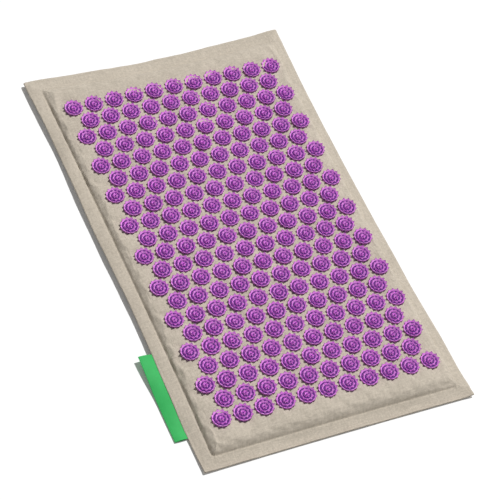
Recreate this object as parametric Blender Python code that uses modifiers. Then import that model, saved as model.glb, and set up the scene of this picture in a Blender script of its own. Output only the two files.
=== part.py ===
"""Acupressure mat: a linen cover with a field of lotus discs, a foam core and a zip in the back.

Metres, +Z up. The origin is the centre of the mat's underside, +Y runs along its long side
and the lotus discs face up. The cover is two cloth panels sewn together round the core, with
a flat flange outside the seam. The zip lies in a shallow gutter of the back panel.
"""

import math

import bmesh
import bpy
from mathutils import Matrix, Vector
from mathutils.geometry import delaunay_2d_cdt

# Clearances, used wherever two pieces lie against each other
CLEARANCE = 0.0003
OVERRUN = 0.001
MERGE = 0.000001

# Mat outline, measured at the corners of the flange
MAT_WIDTH = 0.429
MAT_LENGTH = 0.727
MAT_CORNER = 0.004
FLANGE_SIDE = 0.019
FLANGE_END = 0.0245
POCKET_SHIFT_X = 0.0025
POCKET_SHIFT_Y = 0.001
POCKET_CORNER = 0.009

# How far the tension of the seam draws each side in at its middle
DRAW_LEFT = 0.002
DRAW_RIGHT = 0.0055
DRAW_NEAR = 0.001
DRAW_FAR = 0.0095

# Cloth and core. At the near end the flange droops to the floor and is trimmed narrower
CLOTH = 0.001
SEAM_HEIGHT = 0.0105
FLANGE_SPLAY = 0.0007
FLANGE_DROOP = 0.0082
DROOP_POWER = 1.5
FLANGE_TRIM = 0.0045
PAD_TOP = 0.0188
CROWN = 0.0022
WALL_RUN_TOP = 0.009
WALL_RUN_BOTTOM = 0.011

# Lotus discs, and how far their field lies off the middle of the pocket
DISC_DIAMETER = 0.029
DISC_GAP = 0.0045
FIELD_SHIFT_X = 0.0015
FIELD_SHIFT_Y = -0.0055
FIELD_MARGIN_SIDE = 0.001
FIELD_MARGIN_END = 0.005
PETAL_LENGTH = 0.004
DISC_CROWN = 0.0068
PETAL_TIP_RISE = 0.0028
CROWN_TIP_RISE = 0.0050
HEART_RISE = 0.0034
PETALS = 8
LOTUS_SLOT = 1

# Label, a folded tape caught in the left flange
LABEL_LENGTH = 0.146
LABEL_REACH = 0.0245
LABEL_INSERT = 0.009
LABEL_PLY = 0.0003
LABEL_SLIT = 0.0002
LABEL_FROM_END = 0.0575

# Zip: chain, tapes and stops
ZIP_FROM_END = 0.068
ZIP_FROM_SIDE = 0.006
CHAIN_GAP = 0.0014
COIL_WIDTH = 0.0024
COIL_HEIGHT = 0.0017
TOOTH_PITCH = 0.003
TOOTH_DEPTH = 0.0008
TAPE = 0.0006
TAPE_WIDTH = 0.0113
TAPE_INSET = 0.0005
TAPE_TAIL = 0.008
STOP_LENGTH = 0.0032
STOP_BEVEL = 0.0004

# Gutter of the back panel, deep enough to keep slider and tab off the floor
GUTTER_DEPTH = 0.006
GUTTER_LAND = 0.007
GUTTER_RUN = 0.009
WINDOW_WIDTH = 0.012
WINDOW_MARGIN = 0.0035
TROUGH_MARGIN = 0.0015

# Slider and pull tab
SLIDER_LENGTH = 0.0125
SLIDER_WIDTH = 0.0096
SLIDER_TAIL_WIDTH = 0.0084
SLIDER_PLATE = 0.001
SLIDER_CORNER = 0.0012
BRIDGE_WIDTH = 0.0008
BRIDGE_LENGTH = 0.005
CROWN_LENGTH = 0.0084
CROWN_WIDTH = 0.0016
CROWN_BAR = 0.0009
CROWN_WINDOW = 0.0019
TAB_LENGTH = 0.022
TAB_WIDTH = 0.0066
TAB_NECK = 0.0052
TAB_PLATE = 0.0007
TAB_BAR = 0.0009
TAB_EYE_LENGTH = 0.0046
TAB_EYE_WIDTH = 0.0026
TAB_CORNER = 0.0012

# Counts of facets
CORNER_STEPS = 3
ROUND_STEPS = 5
SPOT_COLUMNS = 7
SPOT_ROWS = 9

# Shares along a side of an outline, close together where the sides bend most
SIDE_SHARES = (0.028, 0.1, 0.22, 0.36, 0.5, 0.64, 0.78, 0.9, 0.972)

# Shares along the wall of the pad: inwards from the seam, and up from it
WALL_SHARES = ((0.0, 0.0), (0.16, 0.46), (0.46, 0.80))
FLANGE_INNER_SHARE = 0.12

# Sizes that follow from the ones above
HALF_WIDTH = MAT_WIDTH / 2
HALF_LENGTH = MAT_LENGTH / 2
POCKET_HALF_WIDTH = HALF_WIDTH - FLANGE_SIDE
POCKET_HALF_LENGTH = HALF_LENGTH - FLANGE_END
INNER_HALF_WIDTH = POCKET_HALF_WIDTH - max(DRAW_LEFT, DRAW_RIGHT)
INNER_HALF_LENGTH = POCKET_HALF_LENGTH - max(DRAW_NEAR, DRAW_FAR)
NEAR_SEAM_Y = POCKET_SHIFT_Y - POCKET_HALF_LENGTH
TOP_SEAM = SEAM_HEIGHT + CLEARANCE / 2 + CLOTH
BACK_SEAM = SEAM_HEIGHT - CLEARANCE / 2 - CLOTH
LINING = CLOTH + CLEARANCE
LABEL_Y = LABEL_FROM_END + LABEL_LENGTH / 2 - HALF_LENGTH

DISC_PITCH = DISC_DIAMETER + DISC_GAP
ROW_PITCH = DISC_PITCH * math.sqrt(3) / 2
DISC_NECK = DISC_DIAMETER / 2 - PETAL_LENGTH
FIELD_EDGE = WALL_RUN_TOP + DISC_NECK
FIELD_HALF_X = INNER_HALF_WIDTH - FIELD_EDGE - abs(FIELD_SHIFT_X) - FIELD_MARGIN_SIDE
FIELD_HALF_Y = INNER_HALF_LENGTH - FIELD_EDGE - abs(FIELD_SHIFT_Y) - FIELD_MARGIN_END
DISC_COLUMNS = 1 + math.floor(2 * FIELD_HALF_X / DISC_PITCH)
DISC_ROWS = 1 + math.floor(2 * FIELD_HALF_Y / ROW_PITCH)

ZIP_X = POCKET_SHIFT_X
ZIP_Y = POCKET_SHIFT_Y + POCKET_HALF_LENGTH - ZIP_FROM_END
GUTTER_HALF_X = INNER_HALF_WIDTH - WALL_RUN_BOTTOM - ZIP_FROM_SIDE
LAND_HALF_X = GUTTER_HALF_X - GUTTER_RUN
WINDOW_HALF_X = LAND_HALF_X - GUTTER_LAND
WINDOW_HALF_Y = WINDOW_WIDTH / 2
LAND_HALF_Y = WINDOW_HALF_Y + GUTTER_LAND
GUTTER_HALF_Y = LAND_HALF_Y + GUTTER_RUN
STOP_END = WINDOW_HALF_X - WINDOW_MARGIN
HALF_CHAIN = STOP_END - STOP_LENGTH - CLEARANCE
TAPE_BOTTOM = GUTTER_DEPTH + CLOTH + CLEARANCE
TAPE_TOP = TAPE_BOTTOM + TAPE
COIL_TOP = TAPE_BOTTOM - CLEARANCE
COIL_BOTTOM = COIL_TOP - COIL_HEIGHT
ZIP_AXIS_Z = (COIL_TOP + COIL_BOTTOM) / 2
COIL_INNER = CHAIN_GAP / 2
COIL_OUTER = COIL_INNER + COIL_WIDTH
OUTER_PLATE_TOP = COIL_BOTTOM - CLEARANCE
OUTER_PLATE_BOTTOM = OUTER_PLATE_TOP - SLIDER_PLATE
INNER_PLATE_BOTTOM = TAPE_TOP + CLEARANCE
INNER_PLATE_TOP = INNER_PLATE_BOTTOM + SLIDER_PLATE
TROUGH_CEILING = INNER_PLATE_TOP + CLEARANCE
SLIDER_X = HALF_CHAIN - CLEARANCE - SLIDER_LENGTH / 2
HINGE_Z = OUTER_PLATE_BOTTOM - CROWN_WINDOW / 2


def clear_scene():
    for obj in list(bpy.data.objects):
        bpy.data.objects.remove(obj, do_unlink=True)


def new_collection(name):
    collection = bpy.data.collections.new(name)
    bpy.context.scene.collection.children.link(collection)
    return collection


clear_scene()
PARTS = new_collection("acupressure_mat")
CUTTERS = new_collection("cutters")


def material(name, colour, roughness, metallic=0.0):
    """One Principled material, plain over the whole piece."""
    made = bpy.data.materials.new(name)
    made.use_nodes = True
    shader = made.node_tree.nodes["Principled BSDF"]
    shader.inputs["Base Color"].default_value = (*colour, 1.0)
    shader.inputs["Roughness"].default_value = roughness
    shader.inputs["Metallic"].default_value = metallic
    return made


LINEN = material("linen", (0.58, 0.51, 0.40), 0.9)
LOTUS_PLASTIC = material("lotus_plastic", (0.36, 0.03, 0.55), 0.3)
LINEN_BACK = material("linen_back", (0.56, 0.50, 0.39), 0.9)
FOAM = material("foam", (0.86, 0.84, 0.76), 0.95)
LABEL = material("green_label", (0.08, 0.42, 0.12), 0.7)
ZIP_TAPE = material("zip_tape", (0.52, 0.46, 0.36), 0.85)
ZIP_COIL = material("zip_coil", (0.60, 0.54, 0.43), 0.4)
ZIP_METAL = material("zip_metal", (0.62, 0.60, 0.56), 0.3, 1.0)


def add_object(name, mesh, finish, location=(0, 0, 0), parent=None, collection=PARTS):
    obj = bpy.data.objects.new(name, mesh)
    obj.location = location
    obj.parent = parent
    mesh.materials.append(finish)
    collection.objects.link(obj)
    return obj


def mesh_from(bm, name):
    """A mesh from the bmesh, with its faces turned outwards, so that the lowest looks down."""
    bmesh.ops.recalc_face_normals(bm, faces=bm.faces)
    lowest = min(bm.faces, key=lambda face: face.calc_center_median().z)
    if lowest.normal.z > 0:
        bmesh.ops.reverse_faces(bm, faces=bm.faces)
    mesh = bpy.data.meshes.new(name)
    bm.to_mesh(mesh)
    bm.free()
    return mesh


def add_frame(name, location, parent=None):
    """An empty that carries pieces, as a joint or a fixed frame."""
    frame = bpy.data.objects.new(name, None)
    frame.location = location
    frame.parent = parent
    PARTS.objects.link(frame)
    return frame


# Outlines of the cover

def rounded_outline(half_x, half_y, corner):
    """Points round a rectangle with round corners, anticlockwise, the same count for any size."""
    points = []
    for quarter, (sign_x, sign_y) in enumerate(((1, -1), (1, 1), (-1, 1), (-1, -1))):
        start = math.radians(90 * quarter - 90)
        centre_x = sign_x * (half_x - corner)
        centre_y = sign_y * (half_y - corner)
        for step in range(CORNER_STEPS + 1):
            angle = start + math.radians(90) * step / CORNER_STEPS
            x = centre_x + corner * math.cos(angle)
            y = centre_y + corner * math.sin(angle)
            points.append(Vector((x, y)))
        if quarter % 2 == 0:
            run = Vector((0, -2 * centre_y))
        else:
            run = Vector((-2 * centre_x, 0))
        last = points[-1].copy()
        points += [last + run * share for share in SIDE_SHARES]
    return points


def drawn_in(point, half_x, half_y):
    """The point moved inwards as the seam's tension draws the sides in between the corners."""
    share_x = point.x / half_x
    share_y = point.y / half_y
    side = DRAW_RIGHT if point.x > 0 else DRAW_LEFT
    end = DRAW_FAR if point.y > 0 else DRAW_NEAR
    x = point.x - side * share_x * abs(share_x) * max(0, 1 - share_y**2)
    y = point.y - end * share_y * abs(share_y) * max(0, 1 - share_x**2)
    return Vector((x, y))


def near_share(y):
    """How far a place lies along the flange of the near end, from 0 at the seam to 1."""
    return max(0, (NEAR_SEAM_Y - y) / (NEAR_SEAM_Y + HALF_LENGTH))


def droop(y):
    """How far the flange has sunk at a place along the mat."""
    return FLANGE_DROOP * near_share(y) ** DROOP_POWER


def flange_outline():
    outline = rounded_outline(HALF_WIDTH, HALF_LENGTH, MAT_CORNER)
    drawn = [drawn_in(p, HALF_WIDTH, HALF_LENGTH) for p in outline]
    return [Vector((p.x, p.y + FLANGE_TRIM * near_share(p.y))) for p in drawn]


def pocket_outline(inset=0.0):
    """The seam round the pocket, or a line that far inside it."""
    half_x = POCKET_HALF_WIDTH - inset
    half_y = POCKET_HALF_LENGTH - inset
    outline = rounded_outline(half_x, half_y, POCKET_CORNER)
    shift = Vector((POCKET_SHIFT_X, POCKET_SHIFT_Y))
    return [drawn_in(p, half_x, half_y) + shift for p in outline]


def crown(x, y):
    """How much the filled pocket rises above its edge at a place."""
    share_x = (x - POCKET_SHIFT_X) / POCKET_HALF_WIDTH
    share_y = (y - POCKET_SHIFT_Y) / POCKET_HALF_LENGTH
    return CROWN * max(0, 1 - share_x**2) * max(0, 1 - share_y**4)


# Rings and faces that the cloth panels and the core are made of

def ring(bm, outline, height):
    """A loop of vertices on an outline, at one height or at the height a function gives."""
    made = []
    for point in outline:
        z = height(point.x, point.y) if callable(height) else height
        made.append(bm.verts.new((point.x, point.y, z)))
    return made


def loft(bm, rings):
    """Quads between each ring and the next."""
    for low, high in zip(rings, rings[1:]):
        count = len(low)
        for i in range(count):
            j = (i + 1) % count
            bm.faces.new((low[i], low[j], high[j], high[i]))


def fill_face(bm, rim, holes=(), spots=(), height=None):
    """Triangles inside the rim, with the holes left open, running through the spots.

    Rim and holes are drawn anticlockwise. A triangle with all its corners on one of these
    loops lies inside that loop when the corners follow it round.
    """
    verts = []
    edges = []
    place = {}
    for number, loop in enumerate([rim, *holes]):
        first = len(verts)
        verts.extend(loop)
        edges += [(first + i, first + (i + 1) % len(loop)) for i in range(len(loop))]
        place.update({vert: (number, i) for i, vert in enumerate(loop)})
    verts += [bm.verts.new((x, y, height(x, y))) for x, y in spots]
    flat = [vert.co.xy for vert in verts]
    _, _, faces, origins, _, _ = delaunay_2d_cdt(flat, edges, [], 1, MERGE, True)
    for face in faces:
        corners = [verts[origins[i][0]] for i in face]
        places = [place.get(vert, (None, 0)) for vert in corners]
        loops = {number for number, _ in places}
        if len(loops) == 1 and None not in loops:
            steps = [step for _, step in places]
            low = steps.index(min(steps))
            inside_loop = steps[low - 2] < steps[low - 1]
            is_rim = loops == {0}
            if inside_loop != is_rim:
                continue
        bm.faces.new(corners)


def grid_spots(columns, rows):
    """Places spread evenly over the flat of the pocket, clear of its drawn-in edge."""
    half_x = INNER_HALF_WIDTH - 2 * WALL_RUN_TOP
    half_y = INNER_HALF_LENGTH - 2 * WALL_RUN_TOP
    spots = []
    for i in range(columns):
        for j in range(rows):
            x = POCKET_SHIFT_X + half_x * (2 * i / (columns - 1) - 1)
            y = POCKET_SHIFT_Y + half_y * (2 * j / (rows - 1) - 1)
            spots.append((x, y))
    return spots


def wall_rings(bm, run, seam_z, face_z, lining, height):
    """Rings up or down the pad's wall, from the seam to the edge of the flat face.

    A lining moves the wall inwards by that much, and towards the middle of the pad.
    """
    rise = face_z - seam_z
    towards = -lining if rise > 0 else lining
    rings = []
    for run_share, rise_share in WALL_SHARES:
        z = seam_z + rise * rise_share + towards
        rings.append(ring(bm, pocket_outline(run * run_share + lining), z))
    rings.append(ring(bm, pocket_outline(run + lining), height))
    return rings


# Lotus discs

def disc_centres():
    """Rows of discs in turn full and one short, set half a pitch over."""
    for row in range(DISC_ROWS):
        count = DISC_COLUMNS - row % 2
        y = POCKET_SHIFT_Y + FIELD_SHIFT_Y + ROW_PITCH * (row - (DISC_ROWS - 1) / 2)
        for column in range(count):
            x = POCKET_SHIFT_X + FIELD_SHIFT_X + DISC_PITCH * (column - (count - 1) / 2)
            yield x, y


def cloth_top(x, y):
    return PAD_TOP + crown(x, y)


def cloth_under(x, y):
    return cloth_top(x, y) - CLOTH


def core_top(x, y):
    return cloth_top(x, y) - LINING


def grow_lotus(bm, x, y):
    """A lotus disc on the cloth: a star of undercut petals round a ring of points and a heart.

    Returns the rim of notches between the petals, where the disc meets the cloth.
    """
    base = cloth_top(x, y)
    step = 2 * math.pi / PETALS

    def star(radius, height, half_steps):
        made = []
        for i in range(PETALS):
            angle = step * (i + half_steps)
            spot_x = x + radius * math.cos(angle)
            spot_y = y + radius * math.sin(angle)
            z = base + height if height else cloth_top(spot_x, spot_y)
            made.append(bm.verts.new((spot_x, spot_y, z)))
        return made

    notches = star(DISC_NECK, 0, 0)
    tips = star(DISC_DIAMETER / 2, PETAL_TIP_RISE, 0.5)
    points = star(DISC_CROWN, CROWN_TIP_RISE, 0)
    heart = bm.verts.new((x, y, base + HEART_RISE))
    for i in range(PETALS):
        j = (i + 1) % PETALS
        petal = [
            bm.faces.new((notches[i], notches[j], tips[i])),
            bm.faces.new((notches[i], tips[i], points[i])),
            bm.faces.new((tips[i], notches[j], points[j])),
            bm.faces.new((tips[i], points[j], points[i])),
            bm.faces.new((points[i], points[j], heart)),
        ]
        for face in petal:
            face.material_index = LOTUS_SLOT
    return notches


# Pieces of the cover

def make_flower_panel(parent):
    """The top cloth with its flange and wall, and the lotus discs pressed onto it."""
    bm = bmesh.new()
    edge = flange_outline()
    seam = pocket_outline()
    inner = [s.lerp(e, FLANGE_INNER_SHARE) for s, e in zip(seam, edge)]
    outside = [ring(bm, edge, lambda x, y: TOP_SEAM + FLANGE_SPLAY - droop(y))]
    outside.append(ring(bm, inner, lambda x, y: TOP_SEAM + FLANGE_SPLAY / 2 - droop(y)))
    outside += wall_rings(bm, WALL_RUN_TOP, TOP_SEAM, PAD_TOP, 0, cloth_top)
    inside = [ring(bm, edge, lambda x, y: TOP_SEAM + FLANGE_SPLAY - CLOTH - droop(y))]
    inside.append(ring(bm, inner, lambda x, y: TOP_SEAM - CLOTH - droop(y)))
    inside += wall_rings(bm, WALL_RUN_TOP, TOP_SEAM, PAD_TOP, CLOTH, cloth_under)
    for rings in (outside, inside, [inside[0], outside[0]]):
        loft(bm, rings)
    discs = [grow_lotus(bm, x, y) for x, y in disc_centres()]
    fill_face(bm, outside[-1], holes=discs)
    spots = grid_spots(SPOT_COLUMNS, SPOT_ROWS)
    fill_face(bm, inside[-1], spots=spots, height=cloth_under)
    panel = add_object("flower_panel", mesh_from(bm, "flower_panel"), LINEN, parent=parent)
    panel.data.materials.append(LOTUS_PLASTIC)
    return panel


def zip_box(half_x, half_y):
    """A rectangle round the middle of the zip, as four flat points."""
    return [Vector((ZIP_X + x, ZIP_Y + y)) for x, y in (
        (-half_x, -half_y), (half_x, -half_y), (half_x, half_y), (-half_x, half_y))]


def make_back_panel(parent):
    """The back cloth: flange, wall and flat underside, with a gutter up to the zip window."""
    bm = bmesh.new()
    edge = flange_outline()
    seam = pocket_outline()
    inner = [s.lerp(e, FLANGE_INNER_SHARE) for s, e in zip(seam, edge)]
    rings = [ring(bm, edge, lambda x, y: BACK_SEAM - FLANGE_SPLAY - droop(y))]
    rings.append(ring(bm, inner, lambda x, y: BACK_SEAM - droop(y)))
    rings += wall_rings(bm, WALL_RUN_BOTTOM, BACK_SEAM, 0, 0, 0)
    loft(bm, rings)
    start = ring(bm, zip_box(GUTTER_HALF_X, GUTTER_HALF_Y), 0)
    land = ring(bm, zip_box(LAND_HALF_X, LAND_HALF_Y), GUTTER_DEPTH)
    window = ring(bm, zip_box(WINDOW_HALF_X, WINDOW_HALF_Y), GUTTER_DEPTH)
    fill_face(bm, rings[-1], holes=[start])
    loft(bm, [start, land, window])
    panel = add_object("back_panel", mesh_from(bm, "back_panel"), LINEN_BACK, parent=parent)
    thick = panel.modifiers.new("cloth", "SOLIDIFY")
    thick.thickness = CLOTH
    thick.offset = -1
    thick.use_even_offset = True
    return panel


def make_core_pad(parent):
    """The foam core: crowned top, round sides, and a trough that clears the zip."""
    bm = bmesh.new()
    top = wall_rings(bm, WALL_RUN_TOP, TOP_SEAM, PAD_TOP, LINING, core_top)
    bottom = wall_rings(bm, WALL_RUN_BOTTOM, BACK_SEAM, 0, LINING, LINING)
    loft(bm, bottom[::-1] + top)
    spots = grid_spots(SPOT_COLUMNS, SPOT_ROWS)
    fill_face(bm, top[-1], spots=spots, height=core_top)
    margin = LINING + TROUGH_MARGIN
    mouth = ring(bm, zip_box(GUTTER_HALF_X + margin, GUTTER_HALF_Y + margin), LINING)
    ceiling = ring(bm, zip_box(LAND_HALF_X + margin, LAND_HALF_Y + margin), TROUGH_CEILING)
    fill_face(bm, bottom[-1], holes=[mouth])
    loft(bm, [mouth, ceiling])
    bm.faces.new(ceiling)
    return add_object("core_pad", mesh_from(bm, "core_pad"), FOAM, parent=parent)


def make_label(parent):
    """A bare label tape, folded at its outer edge and caught between the flange's layers."""
    bm = bmesh.new()
    edge_x = -HALF_WIDTH + DRAW_LEFT / 2
    fold = (LABEL_SLIT + LABEL_PLY) / 2
    profile = [Vector((edge_x + LABEL_INSERT, fold))]
    fold_x = edge_x - LABEL_REACH + fold + LABEL_PLY / 2
    for step in range(ROUND_STEPS + 1):
        angle = math.radians(90 + 180 * step / ROUND_STEPS)
        profile.append(Vector((fold_x + fold * math.cos(angle), fold * math.sin(angle))))
    profile.append(Vector((edge_x + LABEL_INSERT, -fold)))
    ends = []
    for y in (LABEL_Y - LABEL_LENGTH / 2, LABEL_Y + LABEL_LENGTH / 2):
        ends.append([bm.verts.new((p.x, y, SEAM_HEIGHT + p.y)) for p in profile])
    for i in range(len(profile) - 1):
        bm.faces.new((ends[0][i], ends[0][i + 1], ends[1][i + 1], ends[1][i]))
    label = add_object("label_tab", mesh_from(bm, "label_tab"), LABEL, parent=parent)
    thick = label.modifiers.new("ply", "SOLIDIFY")
    thick.thickness = LABEL_PLY
    thick.offset = 0
    return label


# Pieces of the zip, in a frame at the middle of the chain and at the height of the underside

def block(low, high):
    """A bmesh box between two corners."""
    bm = bmesh.new()
    size = high - low
    place = Matrix.Translation((low + high) / 2) @ Matrix.Diagonal((*size, 1))
    bmesh.ops.create_cube(bm, size=1, matrix=place)
    return bm


def add_block(name, low, high, finish, parent=None, bevel=0.0, collection=PARTS):
    mesh = mesh_from(block(Vector(low), Vector(high)), name)
    obj = add_object(name, mesh, finish, parent=parent, collection=collection)
    if bevel:
        rounding = obj.modifiers.new("edges", "BEVEL")
        rounding.width = bevel
        rounding.segments = 2
    return obj


def add_plate(name, outlines, thickness, finish, matrix):
    """A flat outline with any holes, filled and given its thickness, turned into a mesh."""
    curve = bpy.data.curves.new(name, "CURVE")
    curve.dimensions = "2D"
    curve.fill_mode = "BOTH"
    curve.extrude = thickness / 2
    for outline in outlines:
        spline = curve.splines.new("POLY")
        spline.points.add(len(outline) - 1)
        for point, (x, y) in zip(spline.points, outline):
            point.co = (x, y, 0, 1)
        spline.use_cyclic_u = True
    flat = bpy.data.objects.new(name, curve)
    PARTS.objects.link(flat)
    bpy.context.view_layer.update()
    graph = bpy.context.evaluated_depsgraph_get()
    mesh = bpy.data.meshes.new_from_object(flat.evaluated_get(graph))
    bpy.data.objects.remove(flat)
    bpy.data.curves.remove(curve)
    bm = bmesh.new()
    bm.from_mesh(mesh)
    bpy.data.meshes.remove(mesh)
    bmesh.ops.remove_doubles(bm, verts=bm.verts, dist=MERGE)
    bmesh.ops.transform(bm, matrix=matrix, verts=bm.verts)
    return add_object(name, mesh_from(bm, name), finish)


def make_tape(name, side, parent):
    """One woven tape, sewn to the inside of the gutter's land."""
    inner = COIL_INNER + TAPE_INSET
    ys = sorted((side * inner, side * (inner + TAPE_WIDTH)))
    half_x = STOP_END + TAPE_TAIL
    low = (-half_x, ys[0], TAPE_BOTTOM)
    high = (half_x, ys[1], TAPE_TOP)
    return add_block(name, low, high, ZIP_TAPE, parent)


def make_coil(name, side, parent):
    """One row of the chain: a bar under the tape with a tooth at each pitch."""
    teeth = round(2 * HALF_CHAIN / TOOTH_PITCH)
    pitch = 2 * HALF_CHAIN / teeth
    outline = [(-HALF_CHAIN, side * COIL_OUTER)]
    for i in range(teeth):
        start = -HALF_CHAIN + i * pitch
        outline.append((start, side * (COIL_INNER + TOOTH_DEPTH)))
        outline.append((start + pitch / 2, side * COIL_INNER))
    outline.append((HALF_CHAIN, side * (COIL_INNER + TOOTH_DEPTH)))
    outline.append((HALF_CHAIN, side * COIL_OUTER))
    place = Matrix.Translation((0, 0, ZIP_AXIS_Z))
    coil = add_plate(name, [outline], COIL_HEIGHT, ZIP_COIL, place)
    coil.parent = parent
    return coil


def make_stop(name, end, inner, outer, parent):
    """A metal stop clamped at an end of the chain, from one side distance to another."""
    xs = sorted((end * (HALF_CHAIN + CLEARANCE), end * STOP_END))
    low = (xs[0], inner, COIL_BOTTOM)
    high = (xs[1], outer, COIL_TOP)
    return add_block(name, low, high, ZIP_METAL, parent, STOP_BEVEL)


def strip_outline(stations):
    """An anticlockwise outline round (x, half width) stations, symmetric about the X axis."""
    return [(x, -half) for x, half in stations] + [(x, half) for x, half in reversed(stations)]


def guide(obj):
    """Marks a shape that only cuts or joins another one."""
    obj.hide_render = True
    obj.display_type = "WIRE"


def cut(obj, low, high, name):
    """Takes the box between two corners, in the piece's own frame, out of the piece."""
    cutter = add_block(name, low, high, ZIP_METAL, obj.parent, collection=CUTTERS)
    guide(cutter)
    step = obj.modifiers.new(name, "BOOLEAN")
    step.operation = "DIFFERENCE"
    step.object = cutter


def join(obj, other):
    """Makes the other shape part of the piece."""
    PARTS.objects.unlink(other)
    CUTTERS.objects.link(other)
    guide(other)
    step = obj.modifiers.new(other.name, "BOOLEAN")
    step.operation = "UNION"
    step.object = other


def make_slider(parent):
    """Two plates joined by a bridge, cut from one block by the channels of chain and tape."""
    half = SLIDER_LENGTH / 2
    tail = SLIDER_TAIL_WIDTH / 2
    head = SLIDER_WIDTH / 2
    outline = strip_outline([
        (-half, tail - SLIDER_CORNER), (-half + SLIDER_CORNER, tail), (0, tail),
        (SLIDER_CORNER, head), (half - SLIDER_CORNER, head), (half, head - SLIDER_CORNER)])
    height = INNER_PLATE_TOP - OUTER_PLATE_BOTTOM
    middle = (INNER_PLATE_TOP + OUTER_PLATE_BOTTOM) / 2 - ZIP_AXIS_Z
    place = Matrix.Translation((0, 0, middle))
    slider = add_plate("zip_slider", [outline], height, ZIP_METAL, place)
    slider.parent = parent
    floor = OUTER_PLATE_TOP - ZIP_AXIS_Z
    shelf = COIL_TOP - ZIP_AXIS_Z
    ceiling = INNER_PLATE_BOTTOM - ZIP_AXIS_Z
    reach = half + OVERRUN
    for word, side in (("near", -1), ("far", 1)):
        ys = sorted((side * BRIDGE_WIDTH / 2, side * (COIL_OUTER + CLEARANCE)))
        cut(slider, (-reach, ys[0], floor), (reach, ys[1], ceiling), f"chain_channel_{word}")
        ys = sorted((side * COIL_OUTER, side * (head + OVERRUN)))
        cut(slider, (-reach, ys[0], shelf), (reach, ys[1], ceiling), f"tape_slot_{word}")
    low = (-reach, -BRIDGE_WIDTH, floor)
    high = (half - BRIDGE_LENGTH, BRIDGE_WIDTH, ceiling)
    cut(slider, low, high, "behind_bridge")
    join(slider, make_crown(parent))
    return slider


def make_crown(parent):
    """The arch under the outer plate that holds the pull tab."""
    top = OUTER_PLATE_BOTTOM - ZIP_AXIS_Z
    root = top + SLIDER_PLATE / 2
    bottom = top - CROWN_WINDOW - CROWN_BAR
    half = CROWN_LENGTH / 2
    inner = half - CROWN_BAR
    outline = [
        (-half, root), (-half, bottom + CROWN_BAR), (-inner, bottom),
        (inner, bottom), (half, bottom + CROWN_BAR), (half, root),
        (inner, top), (inner, top - CROWN_WINDOW), (-inner, top - CROWN_WINDOW), (-inner, top)]
    upright = Matrix.Rotation(math.radians(90), 4, "X")
    arch = add_plate("slider_crown", [outline], CROWN_WIDTH, ZIP_METAL, upright)
    arch.parent = parent
    return arch


def make_pull_tab(parent):
    """A flat tab whose eye goes round the crown; its end bar is the hinge."""
    start = TAB_BAR / 2
    eye_end = -TAB_BAR / 2 - TAB_EYE_LENGTH
    neck = TAB_NECK / 2
    wide = TAB_WIDTH / 2
    last = start - TAB_LENGTH
    nick = TAB_CORNER / 2
    outline = strip_outline([
        (last, wide - TAB_CORNER), (last + TAB_CORNER, wide), (eye_end - TAB_CORNER, wide),
        (eye_end, neck), (start - nick, neck), (start, neck - nick)])
    eye_half = TAB_EYE_WIDTH / 2
    eye = [(-TAB_BAR / 2, -eye_half), (-TAB_BAR / 2, eye_half), (eye_end, eye_half),
           (eye_end, -eye_half)]
    tab = add_plate("zip_pull_tab", [outline, eye], TAB_PLATE, ZIP_METAL, Matrix.Identity(4))
    tab.parent = parent
    return tab


def main():
    cover = add_frame("cover_frame", (0, 0, 0))
    make_flower_panel(cover)
    make_back_panel(cover)
    make_core_pad(cover)
    make_label(cover)
    closure = add_frame("zip_frame", (ZIP_X, ZIP_Y, 0), cover)
    for word, side in (("near", -1), ("far", 1)):
        make_tape(f"zip_tape_{word}", side, closure)
        make_coil(f"zip_coil_{word}", side, closure)
        reach = sorted((side * COIL_INNER, side * COIL_OUTER))
        make_stop(f"zip_top_stop_{word}", 1, *reach, closure)
    make_stop("zip_bottom_stop", -1, -COIL_OUTER, COIL_OUTER, closure)
    slide = add_frame("slider_joint", (SLIDER_X, 0, ZIP_AXIS_Z), closure)
    make_slider(slide)
    hinge = add_frame("pull_tab_joint", (0, 0, HINGE_Z - ZIP_AXIS_Z), slide)
    make_pull_tab(hinge)


main()
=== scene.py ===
# %% [markdown]
# An acupressure mat: a linen cover with a foam core, sewn flat all round its edge. On top are 221 moulded
# lotus discs, a green tape is caught in the left edge, and a zip lies in a gutter on the underside. The
# lesson starts from a frame of plain solids with the right sizes. Each solid of cloth, foam, tape and
# nylon is replaced by a finer piece, and the zip's metal keeps its solids and gets a finish.

# %% Load the frame
import math

import bmesh
import bpy
import numpy as np
from mathutils import Matrix, Vector
from mathutils.bvhtree import BVHTree


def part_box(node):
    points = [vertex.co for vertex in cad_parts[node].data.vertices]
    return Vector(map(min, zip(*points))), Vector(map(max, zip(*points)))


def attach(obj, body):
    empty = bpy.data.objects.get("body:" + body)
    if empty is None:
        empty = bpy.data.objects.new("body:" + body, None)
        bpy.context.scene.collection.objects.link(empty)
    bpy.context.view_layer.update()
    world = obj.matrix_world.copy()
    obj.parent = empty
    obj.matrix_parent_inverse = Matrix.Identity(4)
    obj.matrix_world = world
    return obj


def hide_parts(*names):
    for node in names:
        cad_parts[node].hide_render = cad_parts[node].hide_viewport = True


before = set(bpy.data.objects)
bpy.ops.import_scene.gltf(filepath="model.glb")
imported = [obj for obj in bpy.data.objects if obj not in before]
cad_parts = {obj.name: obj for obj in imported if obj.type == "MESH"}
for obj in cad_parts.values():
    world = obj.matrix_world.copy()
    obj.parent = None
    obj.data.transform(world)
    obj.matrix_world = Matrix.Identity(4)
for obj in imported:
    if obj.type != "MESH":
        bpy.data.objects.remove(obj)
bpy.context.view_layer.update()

# %% [markdown]
# The camera comes first, so that every later step can be compared with the photograph. Its place was
# found from the grid of disc centres. It looks down at 52 degrees from the near left, with a long lens,
# and it is rolled to the side, so the mat lies aslant in the picture.

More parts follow.
